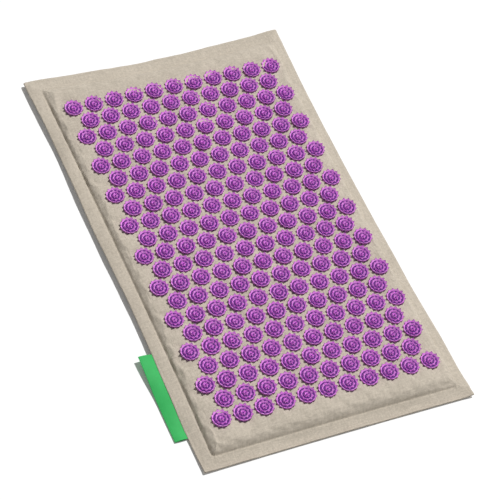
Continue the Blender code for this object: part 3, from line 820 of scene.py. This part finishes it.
def one_petal(petals, crest_shade, tip_shade, inner, crest, tip, outer, crest_height, tip_height):
    """A petal on the X axis, as wide as its share of the circle."""
    bpy.ops.mesh.primitive_grid_add(x_subdivisions=2, y_subdivisions=2, size=2)
    petal = bpy.context.object
    half_share = math.tan(math.pi / petals)
    rows = (
        (FOOT_ROW, -1, inner, 0),
        (CREST_ROW, 0, crest, crest_height),
        (OUTER_ROW, 1, outer, -DISC_SINK),
    )
    bpy.ops.object.mode_set(mode="EDIT")
    for row, place, radius, height in rows:
        pick_points(petal, row)
        bpy.ops.transform.resize(value=(1, radius * half_share, 1), center_override=(0, 0, 0))
        bpy.ops.transform.translate(value=(radius - place, 0, height))
    pick_points(petal, [TIP])
    bpy.ops.transform.translate(value=(tip - crest, 0, tip_height - crest_height))
    pick_points(petal, [FOOT_MIDDLE, TIP])
    bpy.ops.mesh.dissolve_edges(use_verts=True)
    bpy.ops.object.mode_set(mode="OBJECT")
    # painted shade: the petal's feet are painted darkest, its notches and tip by the crown's numbers
    write_painted_shade(petal, [1, crest_shade, 1, tip_shade, 1, 1, crest_shade, 1])
    return petal


print("petals in the crowns of a disc:", [numbers[0] for numbers in CROWNS])

# %% Crowns and plate
PLATE_RADIUS = 0.0128
PLATE_HEIGHT = 0.0013
PLATE_PAINTED_SHADE = 1.0


def crown(petals, turn, *shape):
    angles = [(number + turn) * 2 * math.pi / petals for number in range(petals)]
    spins = [Matrix.Rotation(angle, 4, "Z") for angle in angles]
    return joined_copies(one_petal(petals, *shape), spins, "crown")


def lotus_disc():
    crowns = [crown(*numbers) for numbers in CROWNS]
    bpy.ops.mesh.primitive_circle_add(
        vertices=CROWNS[0][0], radius=PLATE_RADIUS, fill_type="NGON", location=(0, 0, PLATE_HEIGHT),
    )
    plate = bpy.context.object
    bpy.ops.object.transform_apply()
    # painted shade: the plate between the crowns is painted in full shade
    write_painted_shade(plate, [PLATE_PAINTED_SHADE] * len(plate.data.vertices))
    only(plate)
    for piece in crowns:
        piece.select_set(True)
    bpy.ops.object.join()
    plate.name = "lotus_disc"
    return plate


disc = lotus_disc()
print("one disc has", len(disc.data.polygons), "faces")

# %% [markdown]
# The discs are set on the finished cloth, and not at a height worked out beforehand, because pressure has
# moved it. A ray from above finds the cloth at each place. The discs come from one mould and were pressed
# on by a machine, so they are turned and tilted by only a degree or two.

# %% Field of discs
DISC_TURN = math.radians(27)
TURN_SPREAD = math.radians(2)
TILT_SPREAD = math.radians(1.2)
PETAL_CREASE = math.radians(30)
RAY_HEIGHT = 0.05


def surface_of(piece):
    bpy.context.view_layer.update()
    return BVHTree.FromObject(piece, bpy.context.evaluated_depsgraph_get())


def height_on(surface, x, y, upwards=1):
    """The height of a surface over a place, seen from above or from below, and 0 where it has a hole."""
    found = surface.ray_cast(Vector((x, y, upwards * RAY_HEIGHT)), Vector((0, 0, -upwards)))[0]
    return found.z if found else 0.0


def disc_matrices():
    top = surface_of(top_cloth)
    chance = np.random.default_rng(3)
    for x, y in discs:
        turn = Matrix.Rotation(DISC_TURN + chance.normal(0, TURN_SPREAD), 4, "Z")
        tilts = [Matrix.Rotation(chance.normal(0, TILT_SPREAD), 4, axis) for axis in ("X", "Y")]
        place = Matrix.Translation((x, y, height_on(top, x, y)))
        yield place @ (tilts[0] @ tilts[1]) @ turn


lotus_discs = joined_copies(disc, list(disc_matrices()), "lotus_discs")
smooth(lotus_discs, PETAL_CREASE)
dress(lotus_discs, LOTUS, "lotus_plastic")
print("discs reach up to", round(float(points_of(lotus_discs)[:, 2].max()), 4), "m")

# %% [markdown]
# The back cloth is cut like the top one and sewn to it along the same seam. Its wall is the lower half of
# the pad's side, and its middle lies flat on the floor. Near the far end the cloth rises into a shallow
# gutter, so that zip and slider stay off the floor, with a slot for the zip at its top. The slot is cut
# by deleting the faces inside it, and its edge is turned up.

# %% Height of the back cloth
BACK_SEAM_Z = 0.00935
ZIP_X, ZIP_Y = 0.0025, 0.272
SLOT_HALF_X, SLOT_HALF_Y = 0.157, 0.006
LAND = 0.007
GUTTER_RUN = 0.009
GUTTER_DEPTH = 0.006
FLOOR_WRINKLE, FLOOR_WRINKLE_LENGTH = 0.0005, 0.05
FLOOR_WRINKLE_FADE = 0.02
FLOOR_GAP = 0.0006


def outside_slot(x, y):
    """How far outside the zip's slot a place lies."""
    over_x = np.maximum(abs(x - ZIP_X) - SLOT_HALF_X, 0)
    over_y = np.maximum(abs(y - ZIP_Y) - SLOT_HALF_Y, 0)
    return np.hypot(over_x, over_y)


def bottom_height(x, y):
    inside = inside_seam(x, y)
    wall = (BACK_SEAM_Z - NEAR_DIP * near_end(x, y)) * (1 - wall_share(x, y))
    on_floor = eased((inside - WALL_RUN) / FLOOR_WRINKLE_FADE)
    wrinkle = FLOOR_WRINKLE * np.maximum(ripple(x, y, FLOOR_WRINKLE_LENGTH, 21), 0) * on_floor
    gutter = GUTTER_DEPTH * eased(1 - (outside_slot(x, y) - LAND) / GUTTER_RUN)
    flange = np.maximum(BACK_SEAM_Z + flange_wave(x, y), FLOOR_GAP)
    return np.where(inside > 0, np.maximum(wall + wrinkle, gutter), flange)


at_zip = bottom_height(np.array([ZIP_X]), np.array([ZIP_Y]))
print("the gutter rises to", round(float(at_zip[0]) * 1000, 1), "mm above the floor")

# %% Back cloth
SLOT_ZONE_X, SLOT_ZONE_Y = 0.02, 0.026
SLOT_STEPS = (
    # rise of the slot's edge, and how far it runs back outside
    (0.0004, -0.0001),
    (0.0005, 0.0003),
    (0.0, 0.004),
)
DRAW_START, DRAW_FADE = 0.001, 0.02
RIM_WIDTH = 0.03

slot_left, slot_right = ZIP_X - SLOT_HALF_X, ZIP_X + SLOT_HALF_X
slot_near, slot_far = ZIP_Y - SLOT_HALF_Y, ZIP_Y + SLOT_HALF_Y
back_x = grid_lines(
    [-MAT_HALF_X, POCKET_LEFT, POCKET_LEFT + WALL_ZONE, slot_left - SLOT_ZONE_X, slot_left,
     slot_right, slot_right + SLOT_ZONE_X, POCKET_RIGHT - WALL_ZONE, POCKET_RIGHT, MAT_HALF_X],
    [12, 12, 2, 14, 80, 14, 2, 12, 12],
)
back_y = grid_lines(
    [-MAT_HALF_Y, POCKET_NEAR, POCKET_NEAR + WALL_ZONE, ZIP_Y - SLOT_ZONE_Y, slot_near,
     slot_far, ZIP_Y + SLOT_ZONE_Y, POCKET_FAR - WALL_ZONE, POCKET_FAR, MAT_HALF_Y],
    [14, 12, 130, 14, 6, 14, 10, 12, 14],
)


def draw_back(cloth):
    """The seam draws the back cloth in at its edge only, because the zip keeps its middle straight."""
    x, y = points_of(cloth)[:, :2].T
    place_x, place_y = drawn_in(x, y)
    pull = eased(1 - (inside_seam(x, y) - DRAW_START) / DRAW_FADE)
    pulled = x + (place_x - x) * pull, y + (place_y - y) * pull
    put_points(cloth, np.column_stack([*pulled, bottom_height(x, y)]))


def in_slot(face):
    middle = face.calc_center_median()
    return abs(middle.x - ZIP_X) < SLOT_HALF_X and abs(middle.y - ZIP_Y) < SLOT_HALF_Y


def on_slot_edge(edge):
    middle = (edge.verts[0].co + edge.verts[1].co) / 2
    inner = abs(middle.x) < MAT_HALF_X - RIM_WIDTH and abs(middle.y) < MAT_HALF_Y - RIM_WIDTH
    return edge.is_boundary and inner


def on_whole_mesh(piece, operator, **settings):
    """Runs a mesh operator on all of a piece in edit mode."""
    only(piece)
    bpy.ops.object.mode_set(mode="EDIT")
    bpy.ops.mesh.select_all(action="SELECT")
    operator(**settings)
    bpy.ops.object.mode_set(mode="OBJECT")


def cut_slot(cloth):
    """Deletes the faces inside the slot, and turns its edge up into the pocket."""
    only(cloth)
    bpy.ops.object.mode_set(mode="EDIT")
    pick(cloth, "FACE", in_slot)
    bpy.ops.mesh.delete(type="FACE")
    pick(cloth, "EDGE", on_slot_edge)
    for rise, out in SLOT_STEPS:
        bpy.ops.mesh.extrude_edges_move(TRANSFORM_OT_translate={"value": (0, 0, rise)})
        widen = (1 + out / SLOT_HALF_X, 1 + out / SLOT_HALF_Y, 1)
        bpy.ops.transform.resize(value=widen, center_override=(ZIP_X, ZIP_Y, 0))
    bpy.ops.object.mode_set(mode="OBJECT")


back_cloth = panel_cut("back_cloth", back_x, back_y, bottom_height)
draw_back(back_cloth)
needle_marks(back_cloth, -1)
cut_slot(back_cloth)
turn_edge(back_cloth, -1)
on_whole_mesh(back_cloth, bpy.ops.mesh.flip_normals)
smooth(back_cloth)
dress(back_cloth, BACK_LINEN, "back_linen", "back_panel")

# %% [markdown]
# Foam shows nowhere on the closed mat, but the core comes out through the zip to let the cover be washed.
# So it is a piece of its own, worked from a copy of the frame's core: its doubles are merged, it is
# remeshed to even cells, and it is smoothed, because foam has no sharp edge.

# %% Foam
FOAM_LIGHT = (0.86, 0.83, 0.72)
FOAM_DARK = (0.62, 0.57, 0.44)
FOAM_CELL_SCALE = 900.0


def foam_material():
    material, tree, shader = new_material("foam", {"Roughness": 0.95, "Specular IOR Level": 0.2})
    place = piece_place(tree)
    inputs = {"Vector": place, "Scale": FOAM_CELL_SCALE}
    cells = node(tree, "ShaderNodeTexVoronoi", {"feature": "F1"}, inputs, "Distance")
    cloud = noise(tree, place, 30, 3)
    paint(tree, shader, cells * 0.8 + cloud * 0.4, FOAM_LIGHT, FOAM_DARK)
    emboss(tree, shader, cells, 0.7, 0.0004)
    return material


def copied_node(name, new_name):
    """A copy of a frame node's mesh as an object of its own, with its doubles merged."""
    piece = bpy.data.objects.new(new_name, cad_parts[name].data.copy())
    bpy.context.scene.collection.objects.link(piece)
    on_whole_mesh(piece, bpy.ops.mesh.remove_doubles, threshold=DOUBLES_APART)
    return piece


DOUBLES_APART = 0.00001
FOAM_CELL = 0.004
FOAM_GAP, FOAM_GAP_SHARE = 0.0016, 0.4
FOAM_INSET = 0.002
core_foam = copied_node("core_pad", "core_foam")
remesh = core_foam.modifiers.new("cells", "REMESH")
remesh.mode = "VOXEL"
remesh.voxel_size = FOAM_CELL
soften = core_foam.modifiers.new("soften", "SMOOTH")
soften.factor = 0.5
soften.iterations = 3
apply_modifiers(core_foam)


def kept_between(piece, lower, upper):
    """Moves the points of a piece up or down to lie between two cloths."""
    floor_side, disc_side = surface_of(lower), surface_of(upper)
    points = points_of(piece)
    points[:, :2] *= 1 - FOAM_INSET / MAT_HALF_X
    for point in points:
        low, high = height_on(floor_side, *point[:2], -1), height_on(disc_side, *point[:2])
        gap = min(FOAM_GAP, (high - low) * FOAM_GAP_SHARE)
        point[2] = min(max(point[2], low + gap), high - gap)
    put_points(piece, points)


kept_between(core_foam, back_cloth, top_cloth)
smooth(core_foam)
dress(core_foam, foam_material(), "foam", "core_pad")

# %% [markdown]
# The label is a satin tape, folded lengthwise and caught in the left flange, so that a loop of it stands
# out. A folded tape is never flat: its upper ply is domed, and it is twisted, with its fold up in the air
# at the far end and down on the floor at the near one. It is a sheet bent by a formula: one direction
# runs over the fold, the other along the flange.

# %% Label tape
LABEL_NEAR_Y, LABEL_FAR_Y = -0.3005, -0.158
LABEL_FOLD_X = -0.2335
LABEL_REACH = 0.021
LABEL_INSERT = 0.009
LABEL_FOLD_RADIUS = 0.0004
LABEL_FOLD_ZONE = 0.0012
LABEL_THICKNESS = 0.00022
LABEL_DOME, LABEL_DOME_BELOW_SHARE = 0.0014, 0.45
LABEL_WAVE, LABEL_WAVE_LENGTH = 0.0004, 0.05
LABEL_LOW = 0.0022
LABEL_RISE = 0.0085
LABEL_GREEN = (0.06, 0.56, 0.15)
LABEL_DEEP = (0.03, 0.34, 0.08)
SATIN_STRETCH = (5000, 250, 1)


def satin(name, light, deep):
    material, tree, shader = new_material(name, {"Specular IOR Level": 0.15})
    cut = cut_place(tree)
    threads = noise(tree, stretched(tree, cut, SATIN_STRETCH), 1)
    cloud = noise(tree, cut, 60)
    paint(tree, shader, threads * 0.6 + cloud * 0.5, deep, light)
    feed(tree, shader, "Roughness", 0.5 + threads * 0.2)
    emboss(tree, shader, threads, 0.3, 0.0001)
    return material


def thicken(piece, thickness):
    """Gives a folded or woven strip its thickness, half of it on each side."""
    modifier = piece.modifiers.new("thickness", "SOLIDIFY")
    modifier.thickness = thickness
    modifier.offset = 0
    apply_modifiers(piece)


def fold_label():
    fold_run = LABEL_REACH + LABEL_INSERT
    over = grid_lines(
        [-fold_run, -LABEL_REACH, -LABEL_FOLD_ZONE, LABEL_FOLD_ZONE, LABEL_REACH, fold_run],
        [4, 14, 8, 14, 4],
    )
    length = grid_lines([LABEL_NEAR_Y, LABEL_FAR_Y], [48])
    tape = flat_cut("label", over, length, over, length)
    run, y = points_of(tape)[:, :2].T
    along = (y - LABEL_NEAR_Y) / (LABEL_FAR_Y - LABEL_NEAR_Y) * 2 - 1
    from_fold = abs(run)
    bend = np.clip(from_fold / LABEL_FOLD_RADIUS, 0, math.pi / 2)
    straight = from_fold - LABEL_FOLD_RADIUS * bend
    x = LABEL_FOLD_X + LABEL_FOLD_RADIUS * (1 - np.cos(bend)) + straight
    share = np.clip(straight / LABEL_REACH, 0, 1)
    ply = np.sign(run) * LABEL_FOLD_RADIUS * np.sin(bend) * (1 - 0.7 * eased(share))
    side = np.where(run > 0, 1, -LABEL_DOME_BELOW_SHARE)
    dome = np.sin(math.pi * share) ** 0.8 * side * LABEL_DOME * (0.55 + 0.45 * along**2)
    wave = (1 - share) * LABEL_WAVE * ripple(y, y * 0, LABEL_WAVE_LENGTH, 33)
    plan_x, plan_y = plan_of(x, y)
    flange = flange_wave(np.maximum(plan_x, -MAT_HALF_X), plan_y)
    between_plies = (TOP_SEAM_Z + BACK_SEAM_Z) / 2 + flange
    fold_height = LABEL_LOW + LABEL_RISE * eased((along + 0.2) / 1.2)
    middle = between_plies + (fold_height - between_plies) * (1 - share) ** 1.2
    put_points(tape, np.column_stack([x, y, middle + ply + dome + wave]))
    return tape


label = fold_label()
thicken(label, LABEL_THICKNESS)
smooth(label, math.radians(60))
dress(label, satin("green_satin", LABEL_GREEN, LABEL_DEEP), "label_tape", "label_tab")

# %% [markdown]
# The zip lies face down in its gutter. Each tape is a strip of ribbed polyester, with a row of coil turns
# along its inner edge. The tapes are grids with a thickness. A real coil is one long spring of nylon, of
# which only the outer halves show, as a row of small blunt ridges, so one ridge is modelled and copied.

# %% Zip tapes
TAPE_Z = 0.0076
TAPE_THICKNESS = 0.0005
TAPE_RIPPLE, TAPE_RIPPLE_LENGTH = 0.00008, 0.012
RIB_PITCH, CORD_PITCH = 0.0009, 0.0016
TAPE_DARK, TAPE_LIGHT = (0.40, 0.345, 0.255), (0.60, 0.54, 0.43)


def tape_material():
    material, tree, shader = new_material("zip_tape", {"Roughness": 0.85, "Specular IOR Level": 0.3})
    cut = cut_place(tree)
    ribs = (one_axis(tree, cut, "X") * (2 * math.pi / RIB_PITCH)).sine() * 0.5 + 0.5
    cords = (one_axis(tree, cut, "Y") * (2 * math.pi / CORD_PITCH)).sine() * 0.5 + 0.5
    fuzz = noise(tree, cut, 900)
    paint(tree, shader, ribs * 0.35 + cords * 0.25 + fuzz * 0.5, TAPE_DARK, TAPE_LIGHT)
    emboss(tree, shader, ribs + cords * 0.6, 0.5, 0.00015)
    return material


TAPE = tape_material()


def zip_tape(side):
    node_name = f"zip_tape_{side}"
    low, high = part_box(node_name)
    along = grid_lines([low.x, high.x], [170])
    across = grid_lines([low.y, high.y], [8])
    tape = flat_cut(f"woven_tape_{side}", along, across, along, across)
    points = points_of(tape)
    waves = ripple(points[:, 0], points[:, 1], TAPE_RIPPLE_LENGTH, 41)
    points[:, 2] = TAPE_Z + TAPE_RIPPLE * waves
    put_points(tape, points)
    thicken(tape, TAPE_THICKNESS)
    smooth(tape, math.radians(50))
    dress(tape, TAPE, "zip_tape", node_name)


for side in ("near", "far"):
    zip_tape(side)

# %% Zip coils
COIL_PITCH = 0.0015
COIL_WIDTH_SHARE = 0.72
COIL_BLUNT_SHARE = 0.25
COIL_LEAN = math.radians(8)
NYLON_DARK, NYLON_LIGHT = (0.52, 0.46, 0.36), (0.70, 0.65, 0.54)


def nylon_material():
    material, tree, shader = new_material("zip_nylon", {"Coat Weight": 0.1})
    place = piece_place(tree)
    fine = noise(tree, place, 2200)
    paint(tree, shader, noise(tree, place, 220, 3), NYLON_DARK, NYLON_LIGHT)
    feed(tree, shader, "Roughness", 0.3 + fine * 0.25)
    emboss(tree, shader, fine, 0.2, 0.0001)
    return material


NYLON = nylon_material()


def sized(piece, size):
    """Applies the turn of a new primitive, and then gives it its size."""
    bpy.ops.object.transform_apply()
    piece.scale = size
    bpy.ops.object.transform_apply()
    return piece


def coil_turn(low, high):
    """One turn of the coil: a short rod across the tape, blunt at its head."""
    width = COIL_PITCH * COIL_WIDTH_SHARE
    bpy.ops.mesh.primitive_cylinder_add(vertices=8, radius=0.5, depth=1, rotation=(math.pi / 2, 0, 0))
    turn = sized(bpy.context.object, (width, high.y - low.y, high.z - low.z))
    ends = turn.modifiers.new("blunt", "BEVEL")
    ends.width = width * COIL_BLUNT_SHARE
    ends.segments = 1
    ends.limit_method = "ANGLE"
    apply_modifiers(turn)
    return turn


def zip_coil(side):
    node_name = f"zip_coil_{side}"
    low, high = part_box(node_name)
    count = round((high.x - low.x) / COIL_PITCH)
    middle = (low + high) / 2
    lean = Matrix.Rotation(COIL_LEAN if side == "near" else -COIL_LEAN, 4, "Z")
    starts = [low.x + COIL_PITCH * (number + 0.5) for number in range(count)]
    places = [Matrix.Translation((x, middle.y, middle.z)) @ lean for x in starts]
    coil = joined_copies(coil_turn(low, high), places, f"nylon_coil_{side}")
    smooth(coil, math.radians(40))
    dress(coil, NYLON, "zip_nylon", node_name)


for side in ("near", "far"):
    zip_coil(side)

# %% [markdown]
# Slider, pull tab and stops are cast metal with a dull nickel finish. The frame's solids already have
# their shape, so they stay, and get a material with fine brush marks and a little tarnish.

# %% Zip metal
NICKEL_DARK, NICKEL_LIGHT = (0.50, 0.48, 0.44), (0.74, 0.72, 0.68)
BRUSH_STRETCH = (400, 6000, 6000)


def metal_material():
    material, tree, shader = new_material("zip_metal", {"Metallic": 1.0})
    place = piece_place(tree)
    marks = noise(tree, stretched(tree, place, BRUSH_STRETCH), 1, 3)
    tarnish = noise(tree, place, 260, 4)
    paint(tree, shader, tarnish, NICKEL_DARK, NICKEL_LIGHT)
    feed(tree, shader, "Roughness", 0.2 + marks * 0.22 + tarnish * 0.12)
    emboss(tree, shader, marks, 0.15, 0.0001)
    return material


METAL = metal_material()
METAL_NODES = ("zip_slider", "zip_pull_tab", "zip_bottom_stop", "zip_top_stop_near", "zip_top_stop_far")
for name in METAL_NODES:
    for material_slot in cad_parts[name].material_slots:
        material_slot.material = METAL
print(len(METAL_NODES), "metal pieces finished")

# %% [markdown]
# Thread holds all of it together, and it shows as rows of single stitches: on both cloths, the seam round
# the pocket and the hem along the flange's edge. A stitch is a low bead with few faces. It is laid on the
# finished cloth along the plan's lines, drawn in as the cloth is.

# %% Stitches
STITCH_LENGTH = 0.0026
STITCH_PITCH = 0.0034
THREAD = 0.00045
THREAD_SINK_SHARE = 0.1
THREAD_DARK, THREAD_LIGHT = (0.46, 0.40, 0.30), (0.66, 0.60, 0.49)
HEM_STITCH_INSET = 0.0045
HEM_STITCH_CORNER = 0.002


def thread_material():
    material, tree, shader = new_material("thread", {"Roughness": 0.7, "Specular IOR Level": 0.35})
    place = piece_place(tree)
    twist = noise(tree, place, 3000)
    cloud = noise(tree, place, 60)
    paint(tree, shader, twist * 0.5 + cloud * 0.5, THREAD_DARK, THREAD_LIGHT)
    emboss(tree, shader, twist, 0.4, 0.0002)
    return material


THREAD_FINISH = thread_material()


def stitch_bead():
    turn = (0, math.pi / 2, 0)
    bpy.ops.mesh.primitive_uv_sphere_add(segments=6, ring_count=5, radius=0.5, rotation=turn)
    return sized(bpy.context.object, (STITCH_LENGTH, THREAD, THREAD))


print("stitches of", STITCH_LENGTH * 1000, "mm, one each", STITCH_PITCH * 1000, "mm")

# %% Rows of stitches
def loop_round(half_x, half_y, corner):
    """Points and headings along a rounded rectangle about the middle, a stitch apart."""
    straight_x, straight_y, arc = 2 * (half_x - corner), 2 * (half_y - corner), corner * math.pi / 2
    total = 2 * (straight_x + straight_y) + 4 * arc
    count = round(total / STITCH_PITCH)
    for step in range(count):
        run = total * step / count
        side, heading = 0, 0.0
        x, y = -half_x + corner, -half_y
        while True:
            stretch = straight_x if side % 2 == 0 else straight_y
            if run <= stretch:
                yield x + run * math.cos(heading), y + run * math.sin(heading), heading
                break
            run -= stretch
            x, y = x + stretch * math.cos(heading), y + stretch * math.sin(heading)
            middle_x, middle_y = x - corner * math.sin(heading), y + corner * math.cos(heading)
            if run <= arc:
                turned = heading + run / corner
                yield middle_x + corner * math.sin(turned), middle_y - corner * math.cos(turned), turned
                break
            run -= arc
            heading += math.pi / 2
            x, y = middle_x + corner * math.sin(heading), middle_y - corner * math.cos(heading)
            side += 1


def stitches_on(cloth, plan, upwards, name):
    """Lays a row of stitches on a cloth. The plan gives places and headings on the straight plan."""
    surface = surface_of(cloth)
    places = []
    for x, y, heading in plan:
        ends = []
        for end in (-1, 1):
            ahead = end * math.cos(heading) * STITCH_LENGTH / 2
            aside = end * math.sin(heading) * STITCH_LENGTH / 2
            end_x, end_y = drawn_in(x + ahead, y + aside)
            ends.append(Vector((end_x, end_y, height_on(surface, end_x, end_y, upwards))))
        middle = (ends[0] + ends[1]) / 2
        surface_z = height_on(surface, middle.x, middle.y, upwards)
        middle.z = surface_z + upwards * THREAD * THREAD_SINK_SHARE
        turn = (ends[1] - ends[0]).to_track_quat("X", "Z").to_matrix().to_4x4()
        places.append(Matrix.Translation(middle) @ turn)
    row = joined_copies(stitch_bead(), places, name)
    dress(row, THREAD_FINISH, "linen" if upwards > 0 else "back_linen")


seam_loop = loop_round(POCKET_HALF_X, POCKET_HALF_Y, POCKET_CORNER)
hem_half_x, hem_half_y = MAT_HALF_X - HEM_STITCH_INSET, MAT_HALF_Y - HEM_STITCH_INSET
loops = {
    "seam": [(POCKET_X + x, POCKET_Y + y, heading) for x, y, heading in seam_loop],
    "hem": list(loop_round(hem_half_x, hem_half_y, HEM_STITCH_CORNER)),
}
for cloth, upwards, word in ((top_cloth, 1, "top"), (back_cloth, -1, "back")):
    for row_name, plan in loops.items():
        stitches_on(cloth, plan, upwards, f"{row_name}_thread_{word}")

# %% [markdown]
# The mat lies on a plain white floor. A white floor under a plain lamp renders a little grey, so for the
# camera's own rays a little light is added to it, and the shadow on it stays. From below the floor is
# clear, so that the zip can be looked at.

# %% Floor and light
FLOOR_SIZE = 30
FLOOR_WHITE = (0.97, 0.97, 0.97)
FLOOR_LIFT = 0.07
SUN_SLANT = (0.50, 0.22, 1.0)
SUN_STRENGTH = 2.86
SUN_WIDTH = math.radians(3)
SKY_STRENGTH = 0.21


def seen_straight(tree):
    """1 for rays from the camera, mirrors and glass, and 0 for the light's own."""
    names = ("Is Camera Ray", "Is Glossy Ray", "Is Transmission Ray")
    rays = [node(tree, "ShaderNodeLightPath", {}, [], name) for name in names]
    return (rays[0] + rays[1] + rays[2]).clamped()


def floor_material():
    material, tree, shader = new_material("floor", {"Roughness": 1.0, "Specular IOR Level": 0.0})
    shader.inputs["Base Color"].default_value = (*FLOOR_WHITE, 1)
    inputs = {"Color": (1.0, 1.0, 1.0), "Strength": seen_straight(tree) * FLOOR_LIFT}
    glow = node(tree, "ShaderNodeEmission", {}, inputs)
    both = node(tree, "ShaderNodeAddShader", {}, [Wire(tree, shader.outputs[0]), glow])
    clear = node(tree, "ShaderNodeBsdfTransparent", {}, [])
    from_below = node(tree, "ShaderNodeNewGeometry", {}, [], "Backfacing")
    floor_look = node(tree, "ShaderNodeMixShader", {}, [from_below, both, clear])
    tree.links.new(floor_look.socket, tree.nodes["Material Output"].inputs["Surface"])
    return material


bpy.ops.mesh.primitive_plane_add(size=FLOOR_SIZE)
floor = bpy.context.object
floor.name = "floor"
floor.data.materials.append(floor_material())

sun_data = bpy.data.lights.new("sun", "SUN")
sun_data.energy = SUN_STRENGTH
sun_data.angle = SUN_WIDTH
sun = bpy.data.objects.new("sun", sun_data)
sun.matrix_world = Vector(SUN_SLANT).to_track_quat("Z", "Y").to_matrix().to_4x4()
bpy.context.scene.collection.objects.link(sun)

world = bpy.data.worlds.new("studio")
world.use_nodes = True
bpy.context.scene.world = world
sky = world.node_tree.nodes["Background"]
sky_shares = seen_straight(world.node_tree)
sky.inputs["Color"].default_value = (1, 1, 1, 1)
feed(world.node_tree, sky, "Strength", sky_shares * (1 - SKY_STRENGTH) + SKY_STRENGTH)
bpy.context.scene.view_settings.view_transform = "Standard"
print("sun slants by", SUN_SLANT[:2], "for each unit of height")
